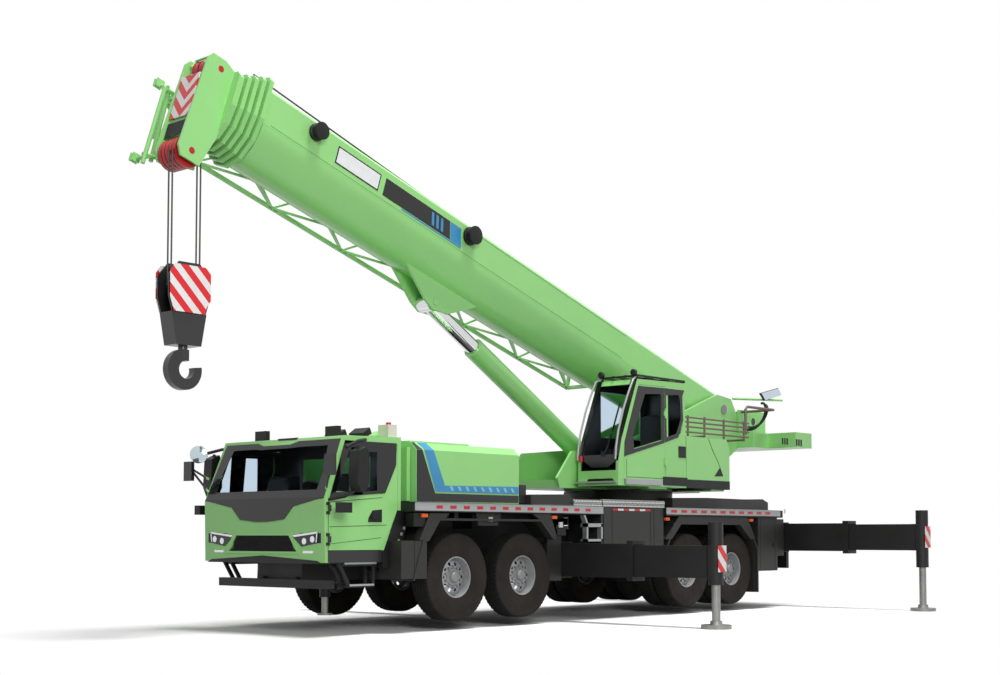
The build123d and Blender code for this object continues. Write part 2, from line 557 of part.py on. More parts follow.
# ================================================================ superstructure
CHEEK_OUT = CHEEK_Y + CHEEK_T
FLOOR_Z = RING_TOP + SEAT
cheek_outline = [
    (-3250, FLOOR_Z), (-3190, 2220), (-3570, 2660), (-4700, 2760), (-7450, 3760), (-7800, 3880), (-8250, 3830),
    (-8480, 3500), (-8480, TAIL_Z0), (-7200, 2150), (-7200, FLOOR_Z)]
turntable = Pos(SLEW_X, 0, FLOOR_Z) * Cylinder(RING_R, OP_FLOOR - SEAT - FLOOR_Z, align=ON_END)
turntable += block(-7200, -3250, -CHEEK_Y - 5, CHEEK_Y + 5, FLOOR_Z, FLOOR_Z + FLOOR_T)
turntable -= Pos(SLEW_X, 0, FLOOR_Z) * Cylinder(RING_BORE_R, 3 * FLOOR_T)
slot_half = LIFT_BARREL_R + GAP
turntable -= block(SLEW_X, -4100, -slot_half, slot_half, FLOOR_Z - 1, FLOOR_Z + FLOOR_T + 1)
turntable += block(-3300, -3250, -CHEEK_Y - 5, CHEEK_Y + 5, FLOOR_Z, 2190)
for side in (-1, 1):
    y0 = CHEEK_Y if side > 0 else -CHEEK_OUT
    turntable += slab(cheek_outline, y0, y0 + CHEEK_T)
    bracket_y = slot_half if side > 0 else -slot_half - BRACKET_T
    turntable += slab(
        [(LIFT_BASE_X - 200, FLOOR_Z), (LIFT_BASE_X + 700, FLOOR_Z), (LIFT_BASE_X + 180, LIFT_BASE_Z + 150),
         (LIFT_BASE_X - 150, LIFT_BASE_Z + 150)], bracket_y, bracket_y + BRACKET_T)
    tie_y = (side * (slot_half + 5), side * (CHEEK_Y + 5))
    turntable += block(LIFT_BASE_X - 40, LIFT_BASE_X + 40, *tie_y, FLOOR_Z, LIFT_BASE_Z)
    turntable += block(-9350, -8440, side * 560, side * 610, TAIL_Z1 - 10, 3640)
turntable += block(-8480, -8430, -CHEEK_Y - 10, CHEEK_Y + 10, TAIL_Z0, 3300)
turntable += block(TAIL_REAR, TAIL_FRONT, -TAIL_HALF, TAIL_HALF, TAIL_Z0, TAIL_Z1)
turntable += block(TAIL_FRONT - 10, -8440, -900, 900, TAIL_Z0, TAIL_Z1)
for x0, x1 in ((-6700, -6300), (-5000, -4500)):
    turntable += block(x0, x1, CHEEK_Y + 5, OP_OUT - 60, FLOOR_Z, OP_FLOOR - SEAT)
turntable -= rod((PIVOT_X, -800, PIVOT_Z), (PIVOT_X, 800, PIVOT_Z), FOOT_PIN_R + FIT)
turntable -= rod((DRUM_X, -800, DRUM_Z), (DRUM_X, 800, DRUM_Z), DRUM_AXLE_R + FIT)
parts["turntable"] = turntable

drum = rod((DRUM_X, -560 + GAP, DRUM_Z), (DRUM_X, 560 - GAP, DRUM_Z), DRUM_R)
for y in (-540, 500):
    drum += rod((DRUM_X, y, DRUM_Z), (DRUM_X, y + 40, DRUM_Z), DRUM_R + 30)
drum += rod((DRUM_X, -605, DRUM_Z), (DRUM_X, 605, DRUM_Z), DRUM_AXLE_R)
parts["winch_drum"] = drum

# ---------------------------------------------------------------- cabinet behind the operator's cab
cabinet = slab([(OP_REAR - GAP, OP_FLOOR), (OP_REAR - GAP, 2960), (-6690, 2960), (-6790, 2830), (-6790, OP_FLOOR)],
               CHEEK_OUT + SEAT, OP_OUT)
parts["superstructure_cabinet"] = cabinet

# ---------------------------------------------------------------- operator's cab
op_outline = [
    (OP_FRONT, OP_FLOOR), (OP_FRONT - 10, 2480), (-3700, 2830), (-4120, OP_ROOF - 20), (-5440, OP_ROOF + 10),
    (OP_REAR, OP_FLOOR)]
op_door_outline = [(-3760, 2170), (-3760, 2760), (-4165, 3720), (-4870, 3735), (-4870, 2170)]
op_window_outline = [(-3830, 2640), (-3830, 2790), (-4205, 3650), (-4790, 3660), (-4790, 2860)]
op_rear_window = [(-4960, 2900), (-4960, 3660), (-5370, 3670), (-5400, 3200), (-5330, 2990)]
OP_DOOR_T = 45.0
op_cab = slab(op_outline, OP_IN, OP_OUT) - slab(grown(op_outline, -OP_WALL), OP_IN + OP_WALL, OP_OUT - OP_WALL)
OP_SCREEN_Z = (2330.0, 3730.0)
op_cab -= block(-4220, -3500, OP_IN + 50, OP_OUT - 50, *OP_SCREEN_Z)
op_cab -= slab(grown(op_door_outline, GAP), OP_OUT - OP_WALL - 1, OP_OUT + 1)
op_cab -= slab(op_rear_window, OP_OUT - OP_WALL - 1, OP_OUT + 1)
op_cab -= block(-5250, -4150, OP_IN - 1, OP_IN + OP_WALL + 1, 2900, 3650)
OP_HINGE_X = -4870 - GAP / 2
OP_HINGE_Y = OP_OUT + 16
for z in (2500, 3300):
    hinge = rod((OP_HINGE_X, OP_HINGE_Y, z + 40 + SEAT), (OP_HINGE_X, OP_HINGE_Y, z + 80), HINGE_R)
    hinge += rod((OP_HINGE_X, OP_HINGE_Y, z - 80), (OP_HINGE_X, OP_HINGE_Y, z - 40 - SEAT), HINGE_R)
    hinge += rod((OP_HINGE_X, OP_HINGE_Y, z - 80), (OP_HINGE_X, OP_HINGE_Y, z + 80), 5)
    for z0, z1 in ((z + 40 + SEAT, z + 80), (z - 80, z - 40 - SEAT)):
        hinge += block(OP_HINGE_X - 40, OP_HINGE_X - 4, OP_OUT - 5, OP_HINGE_Y, z0, z1)
    op_cab += hinge
parts["operator_cab"] = op_cab


def op_front_x(z, depth):
    """The outer face of the operator's windscreen at height z, moved back by depth."""
    low, high = ((-3610, 2480), (-3700, 2830)) if z < 2830 else ((-3700, 2830), (-4120, OP_ROOF - 20))
    if z < 2480:
        low, high = (OP_FRONT, OP_FLOOR), (-3610, 2480)
    return low[0] + (high[0] - low[0]) * (z - low[1]) / (high[1] - low[1]) - depth


levels = [OP_SCREEN_Z[0] + SEAT, 2480, 2830, OP_SCREEN_Z[1] - SEAT]
op_screen = slab([(op_front_x(z, 10), z) for z in levels] + [(op_front_x(z, 10 + GLASS_T), z) for z in levels[::-1]],
                 OP_IN + 50 + SEAT, OP_OUT - 50 - SEAT)
op_panes = [op_screen, slab(grown(op_rear_window, -SEAT), OP_OUT - 30, OP_OUT - 30 + GLASS_T)]
op_panes.append(block(-5250 + SEAT, -4150 - SEAT, OP_IN + 15, OP_IN + 15 + GLASS_T, 2900 + SEAT, 3650 - SEAT))
parts["operator_cab_glass"] = Compound(op_panes)

op_door = slab(op_door_outline, OP_OUT - OP_DOOR_T, OP_OUT) - slab(op_window_outline, OP_OUT - OP_DOOR_T - 1, OP_OUT + 1)
for z in (2500, 3300):
    knuckle = rod((OP_HINGE_X, OP_HINGE_Y, z - 40), (OP_HINGE_X, OP_HINGE_Y, z + 40), HINGE_R)
    knuckle += block(OP_HINGE_X + 4, OP_HINGE_X + 40, OP_OUT - 5, OP_HINGE_Y, z - 40, z + 40)
    op_door += knuckle - rod((OP_HINGE_X, OP_HINGE_Y, z - 41), (OP_HINGE_X, OP_HINGE_Y, z + 41), 5 + FIT)
parts["operator_door"] = op_door
parts["operator_door_glass"] = slab(grown(op_window_outline, -SEAT), OP_OUT - 30, OP_OUT - 30 + GLASS_T)

op_in_z = OP_FLOOR + OP_WALL + SEAT
op_seat = block(-5100, -4600, 820, 1280, op_in_z, op_in_z + 480)
op_seat += block(-5250, -5080, 820, 1280, op_in_z + 300, op_in_z + 1150)
op_seat += block(-4560, -4100, 700, 800, op_in_z, op_in_z + 560)
op_seat += block(-4650, -4500, 700, 1280, op_in_z, op_in_z + 60)
parts["operator_seat"] = op_seat


# ================================================================ boom, built along x from its foot pin
def boom_outline(inset):
    """The section of the boom: flat top, flat webs and a round lower shell in short flats."""
    half = BOOM_HALF - inset
    top = BOOM_TOP - inset
    drop = BOOM_WEB - (BOOM_BOTTOM + inset)
    turns = [math.radians(angle) for angle in (0, 30, 60, 90, 120, 150, 180)]
    shell = [(half * math.cos(turn), BOOM_WEB - drop * math.sin(turn)) for turn in turns]
    left_top = [(-half, top - BOOM_CORNER), (-half + BOOM_CORNER, top)]
    right_top = [(half - BOOM_CORNER, top), (half, top - BOOM_CORNER)]
    return shell + left_top + right_top


def boom_tube(number):
    """Boom section number, 1 the base: inset on every side and reaching from its tail to its mouth."""
    inset = (number - 1) * SECTION_STEP
    tail = SECTION_START + (number - 2) * 110
    mouth = BOOM_END + (number - 1) * SECTION_OUT
    start = tail if number > 1 else -120
    tube = section(boom_outline(inset), start, mouth)
    tube -= section(boom_outline(inset + BOOM_WALL), max(start, 900), mouth + 1)
    lip = section(boom_outline(inset - MOUTH_LIP + (number - 1) * 8), mouth - MOUTH_T, mouth)
    tube += lip - section(boom_outline(inset + BOOM_WALL), mouth - MOUTH_T - 1, mouth + 1)
    if number > 1:
        deep = SECTION_STEP - BOOM_WALL - SEAT
        top = BOOM_TOP - inset
        web_y = BOOM_HALF - inset
        for s in (tail, mouth - SECTION_OUT - 200):
            tube += block(s, s + 150, -200, 200, top - 1, top + deep)
            for side in (-1, 1):
                tube += block(s, s + 150, side * (web_y - 1), side * (web_y + deep), -150, 110)
    return tube


BOOM = Pos(PIVOT_X, 0, PIVOT_Z) * Rotation(0, -LUFF, 0)


def boom_point(s, t):
    """A point on the boom's middle plane, s along the boom and t above its axis, in the vehicle's frame."""
    lean = math.radians(LUFF)
    return PIVOT_X + s * math.cos(lean) - t * math.sin(lean), PIVOT_Z + s * math.sin(lean) + t * math.cos(lean)


base = boom_tube(1)
base -= section([(-900, -900), (-900, -420), (900, -420), (900, -900)], -200, 150)
base += rod((0, -CHEEK_Y + SEAT, 0), (0, CHEEK_Y - SEAT, 0), 210)
base -= rod((0, -CHEEK_Y, 0), (0, CHEEK_Y, 0), FOOT_PIN_R + FIT)
pin_end = CHEEK_OUT + 12
foot_pin = rod((PIVOT_X, -pin_end, PIVOT_Z), (PIVOT_X, pin_end, PIVOT_Z), FOOT_PIN_R)
parts["boom_foot_pin"] = foot_pin
lug_in = LIFT_EYE_W / 2 + GAP
for side in (-1, 1):
    lug_y = lug_in if side > 0 else -lug_in - LUG_T
    lug = slab([(6100, -560), (6900, -1080), (LIFT_PIN_S, LIFT_PIN_T - 130), (7420, LIFT_PIN_T - 60), (8200, -560)],
               lug_y, lug_y + LUG_T)
    base += lug - section(boom_outline(BOOM_WALL), 6000, 8300)
pin_half = lug_in + LUG_T + 15
base += rod((LIFT_PIN_S, -pin_half, LIFT_PIN_T), (LIFT_PIN_S, pin_half, LIFT_PIN_T), LIFT_PIN_R)
JIB_Y = -BOOM_HALF - 130
for s in (3200, 7400, 10700):
    base += block(s, s + 80, JIB_Y - SEAT + 60, -BOOM_HALF + 4, -260, -180)
parts["boom_base"] = base.moved(BOOM)

for number in range(2, SECTION_COUNT + 2):
    tube = boom_tube(number)
    if number == SECTION_COUNT + 1:
        mouth = BOOM_END + (number - 1) * SECTION_OUT
        head_outline = [
            (mouth - 5, 250), (SHEAVE_AXLE_S - 120, 330), (HEAD_FRONT - 60, 330), (HEAD_FRONT, 250),
            (HEAD_FRONT + 60, -1060), (HEAD_FRONT - 10, -1180), (SHEAVE_AXLE_S - 160, -1180), (mouth - 5, -620)]
        tube += section(boom_outline((number - 1) * SECTION_STEP - MOUTH_LIP + 24), mouth, mouth + 30)
        for side in (-1, 1):
            y0 = HEAD_Y if side > 0 else -HEAD_Y - HEAD_PLATE_T
            tube += slab(head_outline, y0, y0 + HEAD_PLATE_T)
        tube += block(HEAD_FRONT - 30, HEAD_FRONT - 10, -HEAD_Y - 5, HEAD_Y + 5, -640, 40)
        for s, t in ((SHEAVE_AXLE_S, SHEAVE_AXLE_T), (TOP_SHEAVE_S, TOP_SHEAVE_T)):
            tube -= rod((s, -400, t), (s, 400, t), 45 + SEAT)
    parts[f"boom_section_{number}"] = tube.moved(BOOM)


def sheave_y(index):
    """Middle of head sheave index, counted from the right side of the boom."""
    return (index - (SHEAVE_COUNT - 1) / 2) * SHEAVE_PITCH


sheaves = rod((SHEAVE_AXLE_S, -HEAD_Y - HEAD_PLATE_T, SHEAVE_AXLE_T), (SHEAVE_AXLE_S, HEAD_Y + HEAD_PLATE_T, SHEAVE_AXLE_T), 45)
for index in range(SHEAVE_COUNT):
    y = sheave_y(index)
    sheaves += rod((SHEAVE_AXLE_S, y - SHEAVE_W / 2, SHEAVE_AXLE_T), (SHEAVE_AXLE_S, y + SHEAVE_W / 2, SHEAVE_AXLE_T), SHEAVE_R)
upper = rod((TOP_SHEAVE_S, -HEAD_Y - HEAD_PLATE_T, TOP_SHEAVE_T), (TOP_SHEAVE_S, HEAD_Y + HEAD_PLATE_T, TOP_SHEAVE_T), 45)
for y in (-75, 75):
    upper += rod((TOP_SHEAVE_S, y - SHEAVE_W, TOP_SHEAVE_T), (TOP_SHEAVE_S, y + SHEAVE_W, TOP_SHEAVE_T), TOP_SHEAVE_R)
parts["head_sheaves"] = Compound([sheaves, upper]).moved(BOOM)

# ---------------------------------------------------------------- lattice jib stowed on the boom's right side
JIB_START = 2600.0
JIB_STOP = 11800.0
JIB_BAYS = 13
JIB_W = 460.0
JIB_H = 560.0
JIB_TOP = 60.0
CHORD = 52.0
LACING = 30.0
corners = [(JIB_Y - w, JIB_TOP - h) for w in (0, JIB_W) for h in (0, JIB_H)]
jib = Part()
for y, z in corners:
    jib += block(JIB_START, JIB_STOP, y - CHORD / 2, y + CHORD / 2, z - CHORD / 2, z + CHORD / 2)
bay_l = (JIB_STOP - JIB_START - CHORD) / JIB_BAYS
braces = []
for index in range(JIB_BAYS):
    s0 = JIB_START + CHORD / 2 + index * bay_l
    s1 = s0 + bay_l
    flip = index % 2
    for y in (JIB_Y, JIB_Y - JIB_W):
        za, zb = (JIB_TOP, JIB_TOP - JIB_H) if flip else (JIB_TOP - JIB_H, JIB_TOP)
        braces.append(bar((s0, y, za), (s1, y, zb), LACING))
    for z in (JIB_TOP, JIB_TOP - JIB_H):
        ya, yb = (JIB_Y, JIB_Y - JIB_W) if flip else (JIB_Y - JIB_W, JIB_Y)
        braces.append(bar((s0, ya, z), (s1, yb, z), LACING, up=(0, 0, 1)))
jib = jib.fuse(*braces)
for s in (JIB_START, JIB_STOP - CHORD):
    for y in (JIB_Y, JIB_Y - JIB_W):
        jib += block(s, s + CHORD, y - CHORD / 2, y + CHORD / 2, JIB_TOP - JIB_H, JIB_TOP)
    for z in (JIB_TOP, JIB_TOP - JIB_H):
        jib += block(s, s + CHORD, JIB_Y - JIB_W, JIB_Y, z - CHORD / 2, z + CHORD / 2)
for s in (3200, 7400, 10700):
    jib += block(s, s + 80, JIB_Y - CHORD / 2, JIB_Y + 60 - SEAT * 2, -290, -150)
    jib += block(s, s + 80, JIB_Y - CHORD / 2, JIB_Y + CHORD / 2, JIB_TOP - JIB_H, JIB_TOP)
parts["stowed_jib"] = jib.moved(BOOM)

# ---------------------------------------------------------------- lift cylinder between turntable and boom
pin_x, pin_z = boom_point(LIFT_PIN_S, LIFT_PIN_T)
lift_line = Vector(pin_x - LIFT_BASE_X, 0, pin_z - LIFT_BASE_Z)
lift_angle = math.degrees(math.atan2(lift_line.Z, lift_line.X))
LIFT = Pos(LIFT_BASE_X, 0, LIFT_BASE_Z) * Rotation(0, -lift_angle, 0)
reach = lift_line.length
barrel = rod((60, 0, 0), (LIFT_BARREL_L, 0, 0), LIFT_BARREL_R)
barrel += rod((0, -LIFT_EYE_W / 2, 0), (0, LIFT_EYE_W / 2, 0), LIFT_EYE_R)
barrel -= rod((LIFT_BORE_START, 0, 0), (LIFT_BARREL_L + 1, 0, 0), LIFT_ROD_R + FIT)
parts["lift_barrel"] = barrel.moved(LIFT)
lift_rod = rod((LIFT_ROD_START, 0, 0), (reach - 60, 0, 0), LIFT_ROD_R)
lift_rod += rod((reach, -LIFT_EYE_W / 2, 0), (reach, LIFT_EYE_W / 2, 0), LIFT_EYE_R)
lift_rod -= rod((reach, -LIFT_EYE_W, 0), (reach, LIFT_EYE_W, 0), LIFT_PIN_R + FIT)
parts["lift_rod"] = lift_rod.moved(LIFT)

# ---------------------------------------------------------------- hoist rope falls and hook block
head_x, head_z = boom_point(SHEAVE_AXLE_S, SHEAVE_AXLE_T)
block_z = head_z - BLOCK_DROP
block_y = sum(sheave_y(index) for index in FALL_SHEAVES) / len(FALL_SHEAVES)
fall_x = SHEAVE_R + ROPE_R + SEAT
falls = []
for index in FALL_SHEAVES:
    for side in (-1, 1):
        x = head_x + side * fall_x
        falls.append(rod((x, sheave_y(index), block_z), (x, sheave_y(index), head_z), ROPE_R))
parts["hoist_rope_falls"] = Compound(falls)

cheek_half = (len(FALL_SHEAVES) - 1) * SHEAVE_PITCH / 2 + SHEAVE_W / 2 + 42
hook = Part()
for y0 in (-cheek_half - 20, cheek_half):
    hook += slab([(-BLOCK_SIDE, 120), (-BLOCK_SIDE + 150, BLOCK_TOP), (BLOCK_SIDE - 150, BLOCK_TOP), (BLOCK_SIDE, 120),
                  (BLOCK_SIDE, -150), (BLOCK_SIDE - 60, -BLOCK_WAIST), (-BLOCK_SIDE + 60, -BLOCK_WAIST),
                  (-BLOCK_SIDE, -150)], y0, y0 + 20)
hook += rod((0, -cheek_half - 40, 0), (0, cheek_half + 40, 0), 55)
for index in FALL_SHEAVES:
    y = sheave_y(index) - block_y
    hook += rod((0, y - SHEAVE_W / 2, 0), (0, y + SHEAVE_W / 2, 0), SHEAVE_R)
hook += slab([(-BLOCK_SIDE + 45, -BLOCK_WAIST + 10), (BLOCK_SIDE - 45, -BLOCK_WAIST + 10), (190, -BLOCK_BODY),
              (-190, -BLOCK_BODY)], -cheek_half - 20, cheek_half + 20)
hook += rod((0, 0, -BLOCK_BODY + 5), (0, 0, -HOOK_EYE_DROP + HOOK_IN_R + 20), 60)
ring = rod((0, -HOOK_T / 2, -HOOK_EYE_DROP), (0, HOOK_T / 2, -HOOK_EYE_DROP), HOOK_OUT_R)
ring -= rod((-25, -HOOK_T, -HOOK_EYE_DROP), (-25, HOOK_T, -HOOK_EYE_DROP), HOOK_IN_R)
ring -= slab([(-25, -HOOK_EYE_DROP + 20), (-400, -HOOK_EYE_DROP + 60), (-400, -HOOK_EYE_DROP + 400),
              (-60, -HOOK_EYE_DROP + 400), (-60, -HOOK_EYE_DROP + HOOK_IN_R)], -HOOK_T, HOOK_T)
hook += ring
parts["hook_block"] = hook.moved(Pos(head_x, block_y, block_z))

# ================================================================ common origin, then one file for each piece
reaches = [piece.bounding_box() for piece in parts.values()]
ORIGIN_X = (min(box.min.X for box in reaches) + max(box.max.X for box in reaches)) / 2
HOME = Pos(-ORIGIN_X, 0, 0)
os.makedirs("parts", exist_ok=True)
for name, piece in parts.items():
    solids = [solid.moved(HOME) for solid in piece.solids()]
    export_step(solids[0] if len(solids) == 1 else Compound(solids), f"parts/{name}.step")
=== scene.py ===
"""The look of the truck crane: finishes for the CAD nodes and the pieces too fine for them.

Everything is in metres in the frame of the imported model, x forward, y to the left, z up.
"""

import json

import bmesh
import bpy
import numpy as np
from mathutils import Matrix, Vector


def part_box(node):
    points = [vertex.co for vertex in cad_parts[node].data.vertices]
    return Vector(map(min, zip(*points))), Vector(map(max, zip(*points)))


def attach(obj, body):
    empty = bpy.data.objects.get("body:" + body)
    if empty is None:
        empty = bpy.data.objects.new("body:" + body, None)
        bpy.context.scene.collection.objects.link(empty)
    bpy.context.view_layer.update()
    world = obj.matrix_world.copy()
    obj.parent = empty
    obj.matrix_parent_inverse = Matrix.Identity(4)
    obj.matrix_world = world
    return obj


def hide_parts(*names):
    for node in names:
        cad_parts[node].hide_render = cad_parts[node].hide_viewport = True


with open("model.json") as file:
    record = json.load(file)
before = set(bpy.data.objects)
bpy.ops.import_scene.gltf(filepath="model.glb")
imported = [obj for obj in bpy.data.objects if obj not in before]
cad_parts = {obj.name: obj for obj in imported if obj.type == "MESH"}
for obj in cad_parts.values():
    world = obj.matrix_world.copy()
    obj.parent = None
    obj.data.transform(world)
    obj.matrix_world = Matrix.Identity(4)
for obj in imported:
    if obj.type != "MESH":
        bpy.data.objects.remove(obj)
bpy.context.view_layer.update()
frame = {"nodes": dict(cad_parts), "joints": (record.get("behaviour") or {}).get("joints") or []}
nodes = frame["nodes"]
joints = {joint["name"]: joint for joint in frame["joints"]}


# ---- Painted steel of the carrier.
# Frame, axles and beams are welded plate in black chassis paint; body boxes are dark grey and
# the hood is in the body green. All of it is slightly uneven and dusty, so that it reads as paint.
def linear(code):
    """Linear colour of an sRGB hex code: c / 12.92 below 0.04045, else ((c + 0.055) / 1.055) ** 2.4."""
    c = np.array([int(code[i : i + 2], 16) for i in (1, 3, 5)]) / 255
    c = np.where(c < 0.04045, c / 12.92, ((c + 0.055) / 1.055) ** 2.4)
    return (*c.tolist(), 1.0)


def add(tree, kind, *sockets, **named):
    """A shader node of that kind: each value sets a property, or fills or links a socket by order or name."""
    made = tree.nodes.new("ShaderNode" + kind)
    for key, value in [*enumerate(sockets), *named.items()]:
        if isinstance(key, str) and hasattr(made, key):
            setattr(made, key, value)
            continue
        socket = made.inputs[key if key in range(99) else key.replace("_", " ")]
        if isinstance(value, bpy.types.NodeSocket):
            tree.links.new(value, socket)
        else:
            socket.default_value = value
    return made


def finish(
    name, code, rough, metal=0.0, drift=0.06, patch=0.6, grain=0.004, relief=0.0002, coat=0.0, shine=0.5
):
    """A surface of one stuff, uneven in colour and in gloss and finely grained.

    The colour drifts by +-drift over patches of that size in metres, the roughness by 15 % over the
    same patches, and a finer grain of that size is embossed by relief metres.
    """
    made = bpy.data.materials.new(name)
    made.use_nodes = True
    tree = made.node_tree
    surface = tree.nodes["Principled BSDF"]
    place = add(tree, "TexCoord").outputs["Object"]
    slow = add(tree, "TexNoise", Vector=place, Scale=1 / patch, Detail=4.0, Roughness=0.6).outputs[0]
    fine = add(tree, "TexNoise", Vector=place, Scale=1 / grain, Detail=2.0).outputs[0]
    spread = {"Value": slow, "From_Min": 0.3, "From_Max": 0.7}
    level = add(tree, "MapRange", **spread, To_Min=1 - drift, To_Max=1 + drift)
    tint = add(tree, "VectorMath", linear(code)[:3], level.outputs[0], operation="MULTIPLY")
    gloss = add(tree, "MapRange", **spread, To_Min=rough * 0.85, To_Max=rough * 1.15)
    bump = add(tree, "Bump", Height=fine, Strength=0.5, Distance=relief)
    surface.inputs["Metallic"].default_value = metal
    surface.inputs["Coat Weight"].default_value = coat
    surface.inputs["Specular IOR Level"].default_value = shine
    tree.links.new(tint.outputs[0], surface.inputs["Base Color"])
    tree.links.new(gloss.outputs[0], surface.inputs["Roughness"])
    tree.links.new(bump.outputs[0], surface.inputs["Normal"])
    return made


def within(tree, *halves):
    """1 where n . place > least for every row (nx, ny, nz, least), else 0; y is taken without its sign."""
    split = add(tree, "SeparateXYZ", add(tree, "TexCoord").outputs["Object"]).outputs
    wide = add(tree, "Math", split["Y"], operation="ABSOLUTE").outputs[0]
    place = add(tree, "CombineXYZ", split["X"], wide, split["Z"]).outputs[0]
    mask = 1.0
    for *normal, least in halves:
        level = add(tree, "VectorMath", place, tuple(normal), operation="DOT_PRODUCT").outputs["Value"]
        side = add(tree, "Math", level, least, operation="GREATER_THAN").outputs[0]
        mask = add(tree, "Math", side, mask, operation="MULTIPLY").outputs[0]
    return mask


def over(stuff, code, mask):
    """Lay a second colour over a stuff where its mask is 1."""
    tree = stuff.node_tree
    goal = tree.nodes["Principled BSDF"].inputs["Base Color"]
    below = goal.links[0].from_socket
    ink = add(tree, "Mix", data_type="RGBA")
    tree.links.new(mask, ink.inputs[0])
    tree.links.new(below, ink.inputs[6])
    ink.inputs[7].default_value = linear(code)
    tree.links.new(ink.outputs[2], goal)


def paint_nodes(stuff, *names):
    """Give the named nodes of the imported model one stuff."""
    for name in names:
        nodes[name].data.materials[0] = stuff


# Chassis black is dull and shows dust; the plate grey is a shade lighter; iron is blotched by oil;
# the body green is even, with a clear coat that mirrors the sky faintly.
frame_paint = finish("black chassis paint, satin", "#1B1B1B", 0.5, drift=0.15, shine=0.3)
grey_paint = finish("dark grey body plate paint, satin", "#282827", 0.5, drift=0.1, shine=0.35)
engine_iron = finish("engine cast iron, oily", "#3C3B39", 0.6, drift=0.2)
green_paint = finish("light green body paint, gloss over clear", "#96D982", 0.36, drift=0.025, coat=0.2)
paint_nodes(frame_paint, "chassis_frame", "deck", "axles")
paint_nodes(grey_paint, "mudguards", "side_cabinets")
paint_nodes(engine_iron, "engine")
paint_nodes(green_paint, "engine_hood")


# ---- Edge strips of the deck.
# A bright aluminium strip runs along each side of the deck, riveted on, and carries red
# reflectors; short orange marker lamps hang under it.
def piece(name, points, faces, stuff, body="carrier", smooth=0.0):
    """A closed shell from rows of points and of faces, facing outwards, that rides on one body.

    Edges flatter than smooth degrees are shaded as one curve.
    """
    mesh = bpy.data.meshes.new(name)
    mesh.from_pydata(np.asarray(points, float).tolist(), [], [tuple(int(i) for i in face) for face in faces])
    shell = bmesh.new()
    shell.from_mesh(mesh)
    bmesh.ops.recalc_face_normals(shell, faces=shell.faces)
    shell.to_mesh(mesh)
    shell.free()
    if smooth:
        mesh.shade_smooth()
        mesh.set_sharp_from_angle(angle=np.radians(smooth))
    mesh.materials.append(stuff)
    made = bpy.data.objects.new(name, mesh)
    bpy.context.scene.collection.objects.link(made)
    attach(made, body)
    return made


def together(*shapes):
    """Several (points, faces) shapes as one: each shape's faces count on from the points before it."""
    starts = np.cumsum([0] + [len(points) for points, _ in shapes])
    faces = [tuple(np.asarray(face) + start) for (_, rows), start in zip(shapes, starts) for face in rows]
    return np.concatenate([np.asarray(points, float) for points, _ in shapes]), faces


def grid_faces(count, turns, closed=True, loop=False):
    """Quads of a grid of count rows of turns points, each row closed; in a loop the rows close too."""
    near, k = np.arange(count - (not loop))[:, None] * turns, np.arange(turns - (not closed))[None]
    far, after = (near + turns) % (count * turns), (k + 1) % turns
    return np.stack([near + k, near + after, far + after, far + k], -1).reshape(-1, 4)


def end_faces(count, turns):
    """The first and the last row of such a grid as two flat ends."""
    return [tuple(range(turns)), tuple(range((count - 1) * turns, count * turns))]


def boxes(*spans):
    """Boxes from rows (x0, x1, y0, y1, z0, z1): corner = low + bit * (high - low) for the 8 bit rows."""
    bits = np.array([[i, j, k] for i in (0, 1) for j in (0, 1) for k in (0, 1)])
    sides = [(0, 1, 3, 2), (4, 6, 7, 5), (0, 4, 5, 1), (2, 3, 7, 6), (0, 2, 6, 4), (1, 5, 7, 3)]
    spans = np.asarray(spans, float).reshape(-1, 3, 2)
    return together(*((span[:, 0] + bits * (span[:, 1] - span[:, 0]), sides) for span in spans))


def prism(outline, low, high):
    """A plate of the flat outline (x, z) between two widths."""
    flat_points = np.asarray(outline, float)
    ends = [np.insert(flat_points, 1, level, axis=1) for level in (low, high)]
    n = len(flat_points)
    k = np.arange(n)
    rim = np.column_stack([k, (k + 1) % n, (k + 1) % n + n, k + n])
    return np.concatenate(ends), [tuple(k), tuple(k + n), *map(tuple, rim)]


def from_axle(*rows):
    """Box rows (x0, x1, y0, y1, z0, z1) with x counted from the first axle, moved to the frame."""
    return np.asarray(rows, float) + [origin_x, origin_x, 0, 0, 0, 0]


def both_sides(*rows):
    """Boxes, x counted from the first axle, on the left and mirrored on the right."""
    rows = from_axle(*rows)
    return boxes(*rows, *(rows * [1, 1, -1, -1, 1, 1]))


def in_place(rows):
    """Rows (x, z) or (x, y, z) with x counted from the first axle, moved to the frame."""
    return [(origin_x + x, *rest) for x, *rest in rows]


def side_plates(outline, y0, y1):
    """A plate of the outline (x, z), x counted from the first axle, between two widths, on both sides."""
    outline = in_place(outline)
    return together(prism(outline, y0, y1), prism(outline, -y0, -y1))


# Brushed aluminium gives a soft grey shine, ribbed plastic lenses a bright flat colour that
# varies a little, and moulded black plastic a fine matt grain.
bright_name, black_name = "brushed aluminium, clear anodised", "black moulded plastic, fine grain"
bright_metal = finish(bright_name, "#A6A9AA", 0.45, metal=0.6, patch=0.2, relief=0.0001)
red_lens = finish("red reflector, ribbed plastic", "#C5161B", 0.3, drift=0.1, patch=0.05)
white_lens = finish("white reflector, ribbed plastic", "#E4E4E2", 0.3, drift=0.05, patch=0.05)
amber_lens = finish("amber lamp lens, ribbed plastic", "#F06A12", 0.3, drift=0.08, patch=0.03)
black_plastic = finish(black_name, "#121212", 0.5, patch=0.3, relief=0.0003, shine=0.3)
axle_x = [joints[f"roll_{n}_left"]["pos_m"][0] for n in (1, 2, 3, 4)]
origin_x = axle_x[0]
deck_low, deck_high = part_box("deck")
side_y = deck_high.y
face_y = side_y + 0.004
